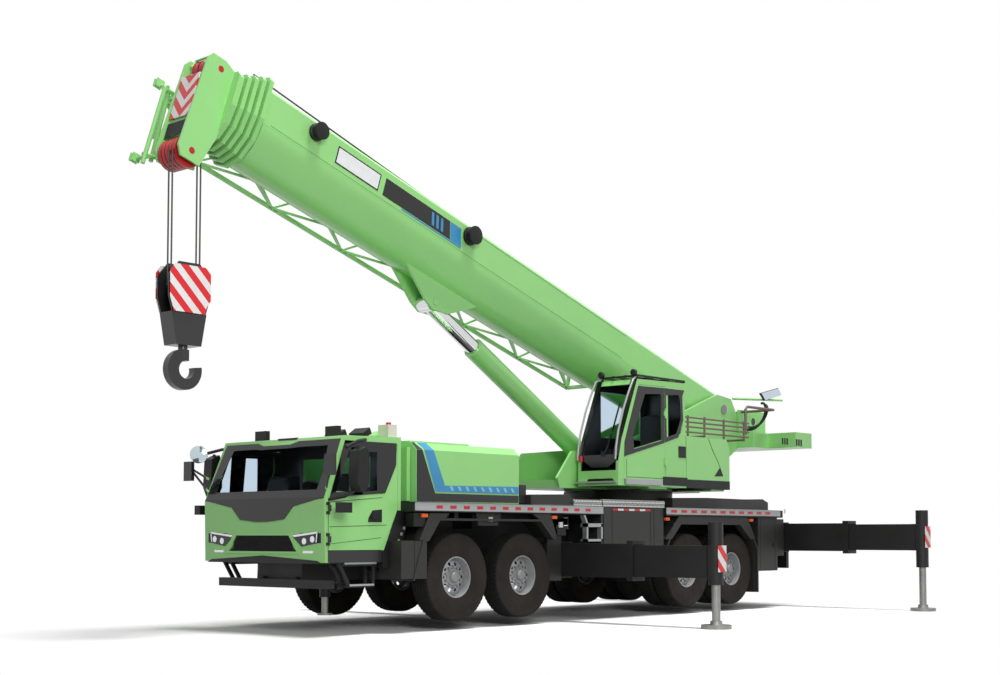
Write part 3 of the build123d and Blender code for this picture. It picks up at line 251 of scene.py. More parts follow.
strips = [(-3.15, 0.94, side_y, face_y, 1.635, 1.735), (-8.37, -4.83, side_y, face_y, 1.645, 1.745)]
for x0, x1, _, _, *edges in strips[:2]:
    strips += [(x0, x1, side_y, side_y + 0.012, z, z + 0.008) for z in edges]
reflectors = [(x - 0.12, x, face_y, face_y + 0.003, 1.665, 1.708) for x in 0.53 - 0.27 * np.arange(13)]
reflectors += [(x - 0.16, x, face_y, face_y + 0.003, 1.675, 1.72) for x in -4.96 - 0.29 * np.arange(11)]
reflectors += [(x - 0.14, x, 1.46, 1.464, 1.69, 1.72) for x in -3.44 - 0.286 * np.arange(4)]
fittings = [(x - 0.14, x, 1.46, 1.464, 1.69, 1.72) for x in -3.583 - 0.286 * np.arange(3)]
fittings += [(-0.69, -0.61, 1.416, 1.43, 1.5, 1.56), (-8.56, -8.52, 1.49, 1.5, 1.7, 1.78)]
markers = [(x - 0.11, x, 1.45, 1.49, 1.545, 1.592) for x in (0.79, -1.94, -4.83, -7.37)]
piece("deck_strips", *both_sides(*strips), bright_metal)
piece("deck_reflectors", *both_sides(*reflectors), red_lens)
left_lamp = boxes(*from_axle((-2.22, -2.14, 1.44, 1.46, 1.42, 1.5)))
piece("white_reflectors", *together(both_sides(*fittings), left_lamp), white_lens)
piece("side_markers", *both_sides(*markers), amber_lens)


# ---- Plates round the wheels and beside the deck.
# Folded steel sheet, sprayed dark grey: hangers between the wheels, flaps and arms of the
# mudguards, raised wedges on the deck, cabinet fronts and the covers on the outrigger boxes.
hanger = side_plates([(-0.35, 1.615), (-0.88, 1.615), (-0.81, 1.44), (-0.41, 1.44)], 1.38, 1.415)
arms = [(0.25, 1.6), (0.63, 1.6), (0.82, 1.24), (0.65, 1.22), (0.41, 1.53), (0.32, 1.54)]
rear_arms = [(-1.51, 1.615), (-1.91, 1.62), (-2.06, 1.26), (-1.98, 1.24), (-1.66, 1.53)]
back_arms = [(-4.83, 1.24), (-5.01, 1.24), (-5.3, 1.5), (-7.05, 1.5), (-7.42, 1.23), (-7.56, 1.25)]
back_arms += [(-7.3, 1.615), (-5.22, 1.615)]
flap_rows = [(0.68, 1.16, 1.05, 1.47, 0.72, 1.23), (0.9, 0.915, 1.46, 1.475, 0.72, 1.23)]
flap_rows.append((-7.62, -7.59, 0.75, 1.42, 0.3, 1.1))
guard_parts = [side_plates(rows, 1.35, 1.478) for rows in (arms, rear_arms, back_arms)]
piece("mudguard_arms", *together(hanger, both_sides(*flap_rows), *guard_parts), grey_paint)
front_wedge = [(-1.53, 1.75), (-1.53, 1.9), (-2.37, 1.92), (-2.66, 1.78), (-2.66, 1.75)]
back_deck = [(-5.43, 1.75), (-5.43, 1.93), (-6.44, 1.95), (-7.67, 1.945), (-8.26, 1.96)]
back_deck += [(-8.45, 1.9), (-8.45, 1.75)]
wedges = [side_plates(front_wedge, 0.5, 1.42), side_plates(back_deck, 0.95, 1.2)]
fronts = [(-4.8, -3.22, 1.45, 1.46, 1.04, 1.745), (-8.33, -7.68, 1.45, 1.462, 0.69, 1.61)]
fronts.append((-1.56, -1.42, 1.1, 1.3, 1.77, 2.04))
covers = [(-2.41, -2.08, 1.22, 1.27, 0.62, 1.29), (-8.82, -8.37, 1.22, 1.3, 0.93, 1.6)]
covers += [(-2.74, -2.41, -1.27, -1.22, 0.62, 1.29), (-9.13, -8.82, -1.3, -1.22, 0.93, 1.6)]
piece("deck_wedges", *together(*wedges), grey_paint)
fronts_and_covers = together(both_sides(*fronts), boxes(*from_axle(*covers)))
piece("cabinet_fronts", *fronts_and_covers, grey_paint)
gaps = [(x - 0.006, x + 0.006, 1.46, 1.463, 1.06, 1.74) for x in (-3.43, -4.44, -4.54)]
gaps += [(x - 0.006, x + 0.006, 1.462, 1.464, 0.7, 1.6) for x in (-7.76, -8.25)]
gaps += [(-8.25, -7.76, 1.462, 1.464, 1.585, 1.592), (-8.2, -8.16, 1.462, 1.47, 1.1, 1.16)]
gaps.append((0.7, 0.92, 1.3, 1.46, 1.42, 1.6))
lamp_arm = boxes(*from_axle((-2.3, -2.1, 1.3, 1.45, 1.3, 1.4)))
piece("cabinet_gaps", *together(both_sides(*gaps), lamp_arm), black_plastic)


# ---- Walk plates and ladder.
# Rolled chequer plate in aluminium lies on the walking parts of the deck and faces the raised
# steps beside the ring; its lozenges show as bright dots. The ladder is bent from plain sheet.
# Its lozenges lie 26 mm apart, worn bright on a duller ground.
chequer = finish("aluminium chequer plate, worn", "#55585A", 0.5, metal=0.4, drift=0.15, patch=0.4)
tree = chequer.node_tree
place = add(tree, "TexCoord").outputs["Object"]
turned = add(tree, "Mapping", Vector=place, Rotation=(0.5, np.radians(45.0), 0.0)).outputs[0]
lozenge = add(tree, "TexChecker", Vector=turned, Scale=1 / 0.026)
over(chequer, "#D9DBD8", lozenge.outputs["Fac"])
hood_rear_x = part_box("engine_hood")[0].x
walk_z = deck_high.z - 0.09
plates = [(-3.13, hood_rear_x - 0.18 - origin_x, 1.0, side_y - 0.02, walk_z, walk_z + 0.005)]
plates += [(deck_low.x + 0.7 - origin_x, -4.9, 1.21, side_y - 0.02, walk_z, walk_z + 0.005)]
plates += [(-4.84, -3.18, 1.42, 1.455, 1.752, 1.86), (-3.2, -2.5, 1.425, 1.455, 1.752, 1.85)]
piece("walk_plates", *both_sides(*plates), chequer)
ladder_rows = [(x, x + 0.04, 1.38, 1.46, 1.21, 1.49) for x in (-2.83, -3.19)]
ladder_rows += [(-3.19, -2.79, 1.34, 1.46, z0, z1) for z0, z1 in ((1.43, 1.485), (1.21, 1.245))]
stile = side_plates([(-2.72, 1.61), (-2.76, 1.61), (-2.83, 1.485), (-2.79, 1.485)], 1.38, 1.46)
piece("deck_ladder", *together(both_sides(*ladder_rows), stile), bright_metal)


# ---- Wheels.
# Each tyre is a wide radial with four circumferential grooves and slotted shoulders, moulded in
# black rubber; each rim is a rolled steel dish, silver, with ten hand holes and ten nuts.
def lathe(profile, centre, axis, turns=48, depth=None, loop=False):
    """Profile rows (along, radius) swept round the axis through centre, ends capped or joined in a loop.

    point = centre + along * axis + (radius - depth(along, angle)) * (cos(angle) * u + sin(angle) * v).
    """
    axis = np.asarray(axis, float) / np.linalg.norm(axis)
    u = np.cross(axis, [0.0, 0.0, 1.0] if abs(axis[2]) < 0.9 else [1.0, 0.0, 0.0])
    u /= np.linalg.norm(u)
    v = np.cross(axis, u)
    profile = np.asarray(profile, float)
    along, angle = np.meshgrid(profile[:, 0], np.linspace(0, 2 * np.pi, turns, endpoint=False), indexing="ij")
    radius = np.broadcast_to(profile[:, 1][:, None], along.shape)
    if depth is not None:
        radius = radius - depth(along, angle)
    ring = np.cos(angle)[..., None] * u + np.sin(angle)[..., None] * v
    points = np.asarray(centre, float) + along[..., None] * axis + radius[..., None] * ring
    count = len(profile)
    ends = [] if loop else end_faces(count, turns)
    return points.reshape(-1, 3), [*map(tuple, grid_faces(count, turns, loop=loop)), *ends]


groove_places, groove_half_width, groove_depth = (0.028, 0.082), 0.005, 0.012
slot_start, slot_end, slot_depth, slots_round, slot_share = 0.098, 0.1485, 0.01, 60, 0.34


def tyre_depth(along, angle):
    """Depth of the moulding: grooves round both halves of the tread and slots across the shoulders."""
    off = np.abs(along)
    groove = np.any([np.abs(off - place) < groove_half_width for place in groove_places], axis=0)
    slot = (off > slot_start) & (off < slot_end) & ((angle * slots_round / (2 * np.pi)) % 1 < slot_share)
    return np.where(groove, groove_depth, np.where(slot, slot_depth, 0.0))


def rim_disc(centre, axis, radii, hole):
    """The dish between two radii with ten holes: each tenth is a grid from its hole to its own edge.

    point(e, v) = (1 - v) * hole(e) + v * edge(e), where e runs round the hole and the tenth alike.
    """
    inner, outer, middle = *radii, sum(radii) / 2
    half_turn, half_rise = np.pi / 10, (outer - inner) / 2
    steps, one = np.linspace(-1, 1, 9)[:-1], np.ones(8)
    sides = [(steps, -one), (one, steps), (-steps, one), (-one, -steps)]
    edge = np.concatenate([np.column_stack(side) for side in sides])
    around = np.arctan2(edge[:, 1], edge[:, 0])
    half_size = hole[0] / (half_turn * middle), hole[1] / half_rise
    ellipse = np.column_stack([np.cos(around), np.sin(around)]) * half_size
    share = np.linspace(0, 1, 4)[:, None, None]
    grid = (1 - share) * ellipse + share * edge
    axis, u = np.asarray(axis, float), np.array([1.0, 0.0, 0.0])
    v = np.cross(axis, u)
    shapes = []
    for turn in np.arange(10) * np.pi / 5:
        angle, radius = turn + grid[..., 0] * half_turn, middle + grid[..., 1] * half_rise
        dish = dish_depth * ((radius - inner) / (outer - inner)) ** 2
        ring = np.cos(angle)[..., None] * u + np.sin(angle)[..., None] * v
        points = np.asarray(centre) - dish[..., None] * axis + radius[..., None] * ring
        shapes.append((points.reshape(-1, 3), grid_faces(len(share), len(edge))))
    return together(*shapes)


# Rubber is dull, black on the tread and browner on the wall, where dust stays; wheel paint has a
# silvery sheen and the hub casting is a flatter grey.
axle_z = joints["roll_1_left"]["pos_m"][2]
rubber_name = "tyre rubber, dull black browned by dust"
rubber = finish(rubber_name, "#141312", 0.8, drift=0.2, patch=0.25, grain=0.006, relief=0.0004, shine=0.25)
tree = rubber.node_tree
split = add(tree, "SeparateXYZ", add(tree, "TexCoord").outputs["Object"]).outputs
beside = add(tree, "CombineXYZ", split["X"], 0.0, split["Z"]).outputs[0]
nearest = abs(axle_x[-1] - axle_x[0])
for x in axle_x:
    gap = add(tree, "VectorMath", beside, (x, 0.0, axle_z), operation="DISTANCE").outputs["Value"]
    nearest = add(tree, "Math", nearest, gap, operation="MINIMUM").outputs[0]
wall_mask = add(tree, "MapRange", Value=nearest, From_Min=0.6, From_Max=0.56).outputs[0]
over(rubber, "#211B18", wall_mask)
rim_paint = finish("silver wheel paint over steel", "#A3A5A6", 0.4, metal=0.3, patch=0.3)
hub_iron = finish("grey painted hub casting", "#8C8D8D", 0.5, metal=0.3, drift=0.1, patch=0.1)
side_wall = [(0.118, 0.287), (0.138, 0.3), (0.15, 0.34), (0.1565, 0.4), (0.157, 0.46), (0.1545, 0.51)]
side_wall += [(0.151, 0.55), (0.1495, 0.575)]
shoulder = [(0.1485, 0.595), (0.144, 0.605), (0.136, 0.609), (0.122, 0.6105), (0.099, 0.6115)]
crown = [(0.0975, 0.6116), (0.0875, 0.612), (0.0868, 0.612), (0.0772, 0.6123), (0.0765, 0.6123)]
crown += [(0.0555, 0.6126), (0.0335, 0.6128), (0.0328, 0.6128), (0.0232, 0.613)]
crown += [(0.0225, 0.613), (0.0, 0.613)]
half_profile = np.array(side_wall + shoulder + crown)
tyre_profile = np.concatenate([half_profile, half_profile[-2::-1] * [-1, 1]])
rim_barrel = [(0.118, 0.289), (0.132, 0.286), (0.133, 0.27), (0.118, 0.266), (0.05, 0.262), (-0.1, 0.25)]
rim_barrel += [(-0.13, 0.27), (-0.118, 0.289)]
hub_profile = [(-0.03, 0.128), (0.0, 0.128), (0.01, 0.12), (0.014, 0.08), (0.05, 0.072), (0.062, 0.06)]
hub_profile.append((0.066, 0.0))
nut_profile = [(0.0, 0.019), (0.026, 0.019), (0.03, 0.012)]
tyre_width, dish_in, dish_depth, nut_circle = 0.315, 0.06, 0.045, 0.15
for n in (1, 2, 3, 4):
    for side, mark in ((1, "left"), (-1, "right")):
        body = f"wheel_{n}_{mark}"
        low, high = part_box(body)
        out, wide = np.array([0.0, side, 0.0]), high.y - low.y
        centre_y = side * (max(abs(low.y), abs(high.y)) - tyre_width / 2)
        centre = np.array([(low.x + high.x) / 2, centre_y, (low.z + high.z) / 2])
        middles = [centre] if wide < 1.5 * tyre_width else [centre, centre - (wide - tyre_width) * out]
        tyres = [lathe(tyre_profile, middle, out, 240, tyre_depth, loop=True) for middle in middles]
        tyre = piece(f"tyre_{n}_{mark}", *together(*tyres), rubber, body, smooth=35)
        face = centre + dish_in * out
        turn = np.arange(10) * np.pi / 5 + np.pi / 10
        nut_places = face + nut_circle * np.column_stack([np.cos(turn), 0 * turn, np.sin(turn)])
        nuts = [lathe(nut_profile, place, out, 6) for place in nut_places]
        rim = [lathe(rim_barrel, middle, out, 96, loop=True) for middle in middles]
        rim.append(rim_disc(face, out, (0.11, 0.262), (0.022, 0.026)))
        piece(f"rim_{n}_{mark}", *together(*rim), rim_paint, body, smooth=40)
        piece(f"hub_{n}_{mark}", *together(lathe(hub_profile, face, out), *nuts), hub_iron, body, smooth=40)
        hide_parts(body)


# ---- Driver's cab: shell, doors and glass.
# Pressed steel panels in the body green; the glass is lightly tinted, bonded in with a broad
# black ceramic border, and the inside is trimmed in dark plastic. The inner faces of the shell
# are painted near black, as painted shade of the closed cab.
# Thin glass hardly bends the view, with a faint smear in its gloss; the ceramic edge is black and
# sharp-edged in reflection, and the trim inside swallows light.
glass = bpy.data.materials.new("pale tinted window glass")
glass.use_nodes = True
tree = glass.node_tree
surface = tree.nodes["Principled BSDF"]
haze = add(tree, "TexNoise", Vector=add(tree, "TexCoord").outputs["Object"], Scale=1.2, Detail=2.0)
tone = add(tree, "MapRange", Value=haze.outputs[0], To_Min=0.0, To_Max=0.02)
surface.inputs["Base Color"].default_value = linear("#DDE8F0")
surface.inputs["Transmission Weight"].default_value = 1.0
surface.inputs["IOR"].default_value = 1.02
tree.links.new(tone.outputs[0], surface.inputs["Roughness"])
ceramic = finish("black ceramic window border, gloss", "#0B0B0C", 0.12, patch=0.5, relief=0.0)
dark_trim = finish("dark cab trim, grained plastic", "#141415", 0.6, drift=0.1, shine=0.3)
cab_paint = finish("cab panels, green outside and dark trim inside", "#96D982", 0.36, drift=0.025, coat=0.1)
# Inside the cab the shell's faces are painted near black: painted shade of the closed cab. The sills below
# the doors and whatever stands out past the door skin are painted near black too.
cab_shade_room = [(1, 0, 0, origin_x + 1.005), (0, 0, 1, 1.0), (0, 0, -1, -2.59), (0, -1, 0, -1.2255)]
cab_shade_room += [(-1, 0, 0, -(origin_x + 2.28)), (-1, 0, -0.4217, -(origin_x + 2.29 + 0.4217 * 1.77))]
sill = [(0, 1, 0, 1.19), (0, 0, -1, -1.105), (-1, 0, 0, -(origin_x + 2.2445))]
for halves in (cab_shade_room, sill, [(0, 1, 0, 1.2515)]):
    over(cab_paint, "#121213", within(cab_paint.node_tree, *halves))
paint_nodes(cab_paint, "driver_cab", "driver_door_left", "driver_door_right")
paint_nodes(glass, "driver_cab_glass", "driver_door_glass_left", "driver_door_glass_right")
paint_nodes(dark_trim, "driver_cab_interior")
paint_nodes(black_plastic, "lamps_and_grille")


# The border is printed on the screen's edge and carries on down in a shallow V into the nose;
# each door's window has a border of its own.
def bent(outline, plane, lift, hole=None):
    """A thin plate on a plane for rows (a, b): point = origin + a * u + b * v, and again + lift * u x v.

    With a hole of the same count of rows it is a frame between outline and hole.
    """
    origin, u, v = (np.asarray(row, float) for row in plane)
    across = np.array([u, v])
    base = origin + np.asarray(outline, float) @ across
    count, up = len(base), lift * np.cross(u, v)
    k = np.arange(count)
    after = (k + 1) % count
    if hole is None:
        sides = np.column_stack([k, after, after + count, k + count])
        return np.concatenate([base, base + up]), [tuple(k), tuple(k + count), *map(tuple, sides)]
    cut = origin + np.asarray(hole, float) @ across
    rings = np.concatenate([base, cut, base + up, cut + up])
    quads = [(0, 1), (1, 3), (3, 2), (2, 0)]
    starts = [(a * count, b * count) for a, b in quads]
    return rings, np.concatenate([np.column_stack([a + k, a + after, b + after, b + k]) for a, b in starts])


def film(rows, plane, lift, hole=None):
    """Such a plate or frame with x counted from the first axle."""
    return bent(in_place(rows), plane, lift, hole and in_place(hole))


def upright(y):
    """The upright plane at one width, drawn in x and z."""
    return (0.0, y, 0.0), (1.0, 0.0, 0.0), (0.0, 0.0, 1.0)


def facing(x):
    """The upright plane that faces forward at one x, drawn in y and z."""
    return (x, 0.0, 0.0), (0.0, 1.0, 0.0), (0.0, 0.0, 1.0)


belt = np.array([origin_x + 2.32, 0.0, 1.77])
brow = np.array([origin_x + 1.97, 0.0, 2.6])
screen_height = np.linalg.norm(brow - belt)
screen_plane = (belt, (0.0, 1.0, 0.0), (brow - belt) / screen_height)
top = screen_height - 0.045
outer_line = [(-1.235, 0.0), (1.235, 0.0), (1.215, 0.4), (1.19, top), (0.36, top), (0.2, top - 0.045)]
outer_line += [(-0.36, top - 0.045), (-0.5, top), (-1.19, top), (-1.215, 0.4)]
low_top = top - 0.09
inner_line = [(-1.05, 0.13), (1.05, 0.13), (1.06, 0.4), (0.98, low_top), (0.4, low_top), (0.2, top - 0.1)]
inner_line += [(-0.36, top - 0.1), (-0.5, low_top), (-0.98, low_top), (-1.06, 0.4)]
half_nose = [(1.235, 1.775), (1.1, 1.76), (0.64, 1.675), (0.455, 1.51), (0.12, 1.48)]
nose_line = [(-1.235, 1.79), (1.235, 1.79)] + half_nose + [(-y, z) for y, z in half_nose[::-1]]
nose = bent(nose_line, facing(origin_x + 2.303), 0.024)
piece("screen_border", *together(bent(outer_line, screen_plane, 0.005, inner_line), nose), ceramic)
slot = [(y, screen_height + rise) for y, rise in ((-0.11, 0.01), (0.32, 0.01), (0.3, -0.02), (-0.08, -0.02))]
piece("brow_slot", *bent(slot, screen_plane, 0.004), dark_trim)
window_line = [(2.235, 1.775), (1.97, 2.535), (1.04, 2.535), (1.05, 2.24), (1.25, 1.86), (1.8, 1.82)]
pane_line = [(2.12, 1.86), (1.9, 2.4), (1.4, 2.4), (1.4, 2.2), (1.4, 1.89), (1.8, 1.87)]
post = [(1.66, 1.83), (1.9, 1.83), (1.86, 2.45), (1.6, 2.45)]
recess = [(1.31, 1.475), (1.56, 1.475), (1.55, 1.53), (1.48, 1.63), (1.31, 1.645)]
# The door's pressed folds are drawn as thin near-black strips: painted shade in the creases.
fold_shade_rows = [(1.3, 1.724, 1.8, 1.806, 1.731), (1.22, 1.408, 1.436, 1.442, 1.415)]
fold_shade_rows.append((1.32, 1.188, 1.27, 1.275, 1.193))
fold_shade_lines = [[(2.23, z0), (x, z1), (x, z2), (2.23, z3)] for x, z0, z1, z2, z3 in fold_shade_rows]
for side, mark in ((1, "left"), (-1, "right")):
    body = f"driver_door_{mark}"
    plane = upright(side * 1.25)
    shapes = [film(window_line, plane, -0.004 * side, pane_line), film(post, plane, -0.004 * side)]
    piece(f"door_window_border_{mark}", *together(*shapes), ceramic, body)
    grip = boxes(*from_axle((1.34, 1.5, side * 1.254, side * 1.275, 1.52, 1.56)))
    shapes = [film(recess, plane, -0.005 * side), grip]
    piece(f"door_handle_{mark}", *together(*shapes), black_plastic, body, smooth=30)
    shapes = [film(fold, plane, -0.002 * side) for fold in fold_shade_lines]
    piece(f"door_fold_shade_{mark}", *together(*shapes), dark_trim, body)

# The nose carries a black honeycomb grille in a green surround and two raked lamp units; each
# has a bright strip above two round lamps. A thin gap parts it from the bumper.
# Chrome mirrors its surroundings; the lamp reflectors are a silvery white.
chrome = finish("chromed steel, polished", "#D5D7D8", 0.08, metal=1.0, drift=0.02, relief=0.0)
lamp_white = finish("lamp reflector behind clear cover", "#E8EAEC", 0.15, metal=0.6, patch=0.05)
face_x = origin_x + 2.3
face_plane = facing(face_x)
grille_line = [(-0.71, 1.09), (0.71, 1.09), (0.55, 1.3), (-0.55, 1.3)]
rim_line = [(-0.79, 1.06), (0.79, 1.06), (0.6, 1.34), (-0.6, 1.34)]
columns, rows = np.meshgrid(np.arange(-0.7, 0.71, 0.04), np.arange(1.105, 1.3, 0.024))
cells = np.column_stack([(columns + 0.02 * (np.arange(len(rows)) % 2)[:, None]).ravel(), rows.ravel()])
cells = cells[np.abs(cells[:, 0]) < 0.69 - (cells[:, 1] - 1.09) * 0.76]
corner = np.arange(6) * np.pi / 3
hexagon = np.column_stack([np.cos(corner), np.sin(corner)])
mesh_bars = [bent(cell + 0.015 * hexagon, face_plane, 0.012, cell + 0.011 * hexagon) for cell in cells]
piece("grille_mesh", *together(*mesh_bars), dark_trim)
piece("grille_surround", *bent(rim_line, face_plane, 0.02, grille_line), green_paint)
piece("grille_back", *bent(grille_line, face_plane, 0.004), black_plastic)
unit_line = [(0.6, 1.305), (1.13, 1.355), (1.11, 1.2), (0.8, 1.155)]
strip_lines = [[(0.62, 1.303), (1.12, 1.351), (1.12, 1.327), (0.66, 1.28)]]
strip_lines.append([(1.12, 1.335), (1.1, 1.21), (1.085, 1.21), (1.1, 1.335)])
lens = [(0.0, 0.042), (0.012, 0.042), (0.017, 0.03), (0.018, 0.0)]
units, strips, round_lamps = [], [], []
for side in (-1, 1):
    units.append(bent([(side * y, z) for y, z in unit_line], face_plane, 0.012))
    strips += [bent([(side * y, z) for y, z in line], face_plane, 0.016) for line in strip_lines]
    for y, z in ((0.86, 1.225), (1.02, 1.25)):
        round_lamps.append(lathe(lens, (face_x + 0.008, side * y, z), (1, 0, 0), 24))
    round_lamps.append(boxes((face_x, face_x + 0.014, side * 0.83, side * 1.03, 1.07, 1.1)))
piece("headlamp_units", *together(*units), ceramic)
piece("headlamp_strips", *together(*strips), lamp_white)
piece("headlamps", *together(*round_lamps), lamp_white, smooth=30)
half_gap = [(1.245, 1.41), (1.11, 1.41), (0.48, 1.36), (0.0, 1.355)]
gap_top = half_gap + [(-y, z) for y, z in half_gap[-2::-1]]
seam = bent(gap_top + [(y, z - 0.018) for y, z in gap_top[::-1]], face_plane, 0.004)
uprights = both_sides((2.294, 2.304, 1.06, 1.066, 1.41, 1.75), (2.246, 2.252, 1.245, 1.2525, 0.96, 1.76))
piece("nose_panel_gaps", *together(seam, uprights), dark_trim)
apron = [(-1.2, 0.935), (1.2, 0.935), (1.1, 0.975), (0.0, 1.035), (-1.1, 0.975)]
piece("nose_apron", *bent(apron, face_plane, 0.006), black_plastic)

# Black steps hang below each door with two bright treads and a slanted stay; the front corner
# lamp is amber and the wing panel behind is dark plastic with three bright caps.
sills = [(1.3, 2.24, 0.95, 1.22, 0.935, 1.1), (1.36, 1.96, 1.0, 1.2, 0.9, 0.945)]
sills.append((1.39, 1.86, 1.0, 1.19, 0.62, 0.65))
stay_lines = [[(2.04, 0.93), (1.98, 0.93), (1.8, 0.64), (1.86, 0.64)]]
stay_lines.append([(1.42, 0.93), (1.38, 0.93), (1.39, 0.63), (1.43, 0.63)])
stays = [side_plates(line, y, y + 0.03) for line in stay_lines for y in (1.02, 1.17)]
piece("cab_steps", *together(both_sides(*sills), *stays), black_plastic)
treads = [(1.38, 1.94, 1.2, 1.225, 0.925, 0.95), (1.41, 1.84, 1.19, 1.215, 0.64, 0.665)]
piece("cab_step_treads", *both_sides(*treads), bright_metal)
piece("corner_lamps", *both_sides((2.12, 2.24, 1.215, 1.245, 1.0, 1.075)), amber_lens)
wing = [(1.03, 1.635), (0.79, 1.635), (0.93, 1.2), (1.06, 0.87), (1.3, 0.87), (1.3, 1.04)]
piece("wing_panels", *side_plates(wing, 1.16, 1.258), black_plastic)
cap_places = [(0.91, 1.4), (0.96, 1.32), (1.01, 1.23)]
caps = [(x - 0.018, x + 0.018, 1.258, 1.268, z - 0.02, z + 0.02) for x, z in cap_places]
piece("wing_caps", *both_sides(*caps), bright_metal)


# Each mirror hangs ahead of its door on two black tubes: a tall housing with its glass facing
# back and a small round one above on the kerb side.
def tube(path, radius, turns=12):
    """A round tube: point = path(i) + radius * (cos(a) * u(i) + sin(a) * v(i)), u carried on along it."""
    path = np.asarray(path, float)
    ways = np.gradient(path, axis=0)
    ways /= np.linalg.norm(ways, axis=1)[:, None]
    u = np.cross(ways[0], [0.0, 0.0, 1.0] if abs(ways[0, 2]) < 0.9 else [1.0, 0.0, 0.0])
    angle = np.linspace(0, 2 * np.pi, turns, endpoint=False)[:, None]
    rings = []
    for spot, way in zip(path, ways):
        u = u - way * (u @ way)
        u /= np.linalg.norm(u)
        rings.append(spot + radius * (np.cos(angle) * u + np.sin(angle) * np.cross(way, u)))
    count = len(path)
    return np.concatenate(rings), [*map(tuple, grid_faces(count, turns)), *end_faces(count, turns)]


def tubes(radius, turns, *paths):
    """Tubes of one radius along paths with x counted from the first axle."""
    return together(*(tube(in_place(path), radius, turns) for path in paths))


# Silvered glass shows what is round it; its faint blue is a painted reflection of the sky.
mirror_glass = finish("silvered mirror glass", "#C9D6DF", 0.05, metal=0.7, drift=0.01, relief=0.0)
upper_arm = [(1.6, 1.24, 2.56), (1.9, 1.42, 2.52), (2.1, 1.5, 2.46), (2.2, 1.53, 2.42)]
lower_arm = [(2.24, 1.24, 1.76), (2.12, 1.42, 1.8), (1.99, 1.5, 1.88), (1.98, 1.5, 2.45)]
head = [(1.88, 2.32), (1.93, 2.44), (2.06, 2.38), (2.08, 1.98), (2.02, 1.85), (1.93, 1.88), (1.88, 1.98)]
round_head = [(0.0, 0.125), (0.03, 0.125), (0.045, 0.09), (0.05, 0.0)]
for side, mark in ((1, "left"), (-1, "right")):
    arms = tubes(0.022, 12, *([(x, side * y, z) for x, y, z in arm] for arm in (upper_arm, lower_arm)))
    housing = prism(in_place(head), side * 1.44, side * 1.62)
    lower = boxes(*from_axle((2.1, 2.28, side * 1.42, side * 1.54, 1.59, 1.72)))
    piece(f"mirror_arms_{mark}", *together(arms, housing, lower), black_plastic, smooth=30)
    shapes = [boxes(*from_axle((1.872, 1.882, side * 1.455, side * 1.605, 1.98, 2.31)))]
    if side < 0:
        shapes.append(lathe(round_head, (origin_x + 2.2, -1.56, 2.44), (0.7, 0.7, 0), 32))
    piece(f"mirror_glass_{mark}", *together(*shapes), mirror_glass, smooth=30)

# Two tilted work lamps stand on green brackets along the rear edge of the roof, with a milky
# water reservoir under a red cap beside them.
lamp_tilt = [(0.98, 2.7), (1.1, 2.63), (1.14, 2.7), (1.02, 2.78)]
work_lamps = [prism(in_place(lamp_tilt), y0, y1) for y0, y1 in ((-0.1, 0.2), (0.4, 0.7))]
piece("roof_work_lamps", *together(*work_lamps), black_plastic)
bracket = in_place([(1.0, 2.6), (1.12, 2.6), (1.1, 2.66), (1.02, 2.72)])
brackets = [prism(bracket, y0, y1) for y0, y1 in ((-0.14, -0.04), (0.36, 0.46), (0.78, 0.98))]
piece("roof_brackets", *together(*brackets), green_paint)
milky = finish("milky polythene reservoir", "#DDD9CB", 0.4, drift=0.05, patch=0.1)
tank = boxes(*from_axle((0.97, 1.13, 0.98, 1.18, 2.62, 2.79)))
piece("roof_reservoir", *tank, milky)
filler_cap = lathe([(0.0, 0.035), (0.035, 0.035)], (origin_x + 1.05, 1.1, 2.79), (0, 0, 1), 24)
piece("reservoir_cap", *filler_cap, red_lens)


# ---- Outriggers.
# Box beams in black chassis paint slide out under the deck; each jack's housing carries a plate in
# red and white stripes, its rod is chromed and its round float is pressed from steel.
def red_bars(stuff, level, pitch):
    """Red over half of each pitch of the level, both in metres."""
    tree = stuff.node_tree
    count = add(tree, "Math", level, 1 / pitch, operation="MULTIPLY").outputs[0]
    part = add(tree, "Math", count, operation="FRACT").outputs[0]
    over(stuff, "#E0262C", add(tree, "Math", part, 0.5, operation="GREATER_THAN").outputs[0])


# Galvanised floats are grey and scuffed, jack rods have a dull shine, and the sheeting is white
# with red bars that lean the same way on each board.
float_steel = finish("galvanised float plate, scuffed", "#8D8C88", 0.5, metal=0.7, drift=0.2, patch=0.15)
jack_steel = finish("ground jack rod, dull chrome", "#8F8F8E", 0.35, metal=0.6, drift=0.1, patch=0.1)
stripes = finish("red and white reflective sheeting", "#EDEBEA", 0.35, patch=0.2)
tree = stripes.node_tree
split = add(tree, "SeparateXYZ", add(tree, "TexCoord").outputs["Object"]).outputs
side_sum = add(tree, "Math", split["X"], split["Y"], operation="ADD").outputs[0]
lean = add(tree, "Math", split["Z"], side_sum, operation="SUBTRACT").outputs[0]
red_bars(stripes, lean, 0.26)
paint_nodes(frame_paint, *(name for name in nodes if name.startswith("outrigger")))
paint_nodes(jack_steel, *(name for name in nodes if name.endswith("jack")))
for corner in ("front", "rear"):
    for side, mark in ((1, "left"), (-1, "right")):
        jack = f"outrigger_{corner}_{mark}_jack"
        low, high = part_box(jack)
        centre = (low + high) / 2
        dish = [(0.0, 0.215), (0.012, 0.215), (0.03, 0.19), (0.045, 0.1), (0.075, 0.085), (0.11, 0.085)]
        pad = lathe(dish, (centre.x, centre.y, 0.0), (0, 0, 1), 64)
        piece(f"float_{corner}_{mark}", *pad, float_steel, jack, smooth=30)
        beam = f"outrigger_{corner}_{mark}_beam_2"
        beam_low, beam_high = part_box(beam)
        y = beam_high.y if side > 0 else beam_low.y
        z0 = (beam_low.z + 0.18, beam_low.z + 0.34)[corner == "rear"]
        board = boxes((centre.x - 0.105, centre.x + 0.105, y, y + side * 0.004, z0, z0 + 0.37))
        piece(f"jack_board_{corner}_{mark}", *board, stripes, beam)
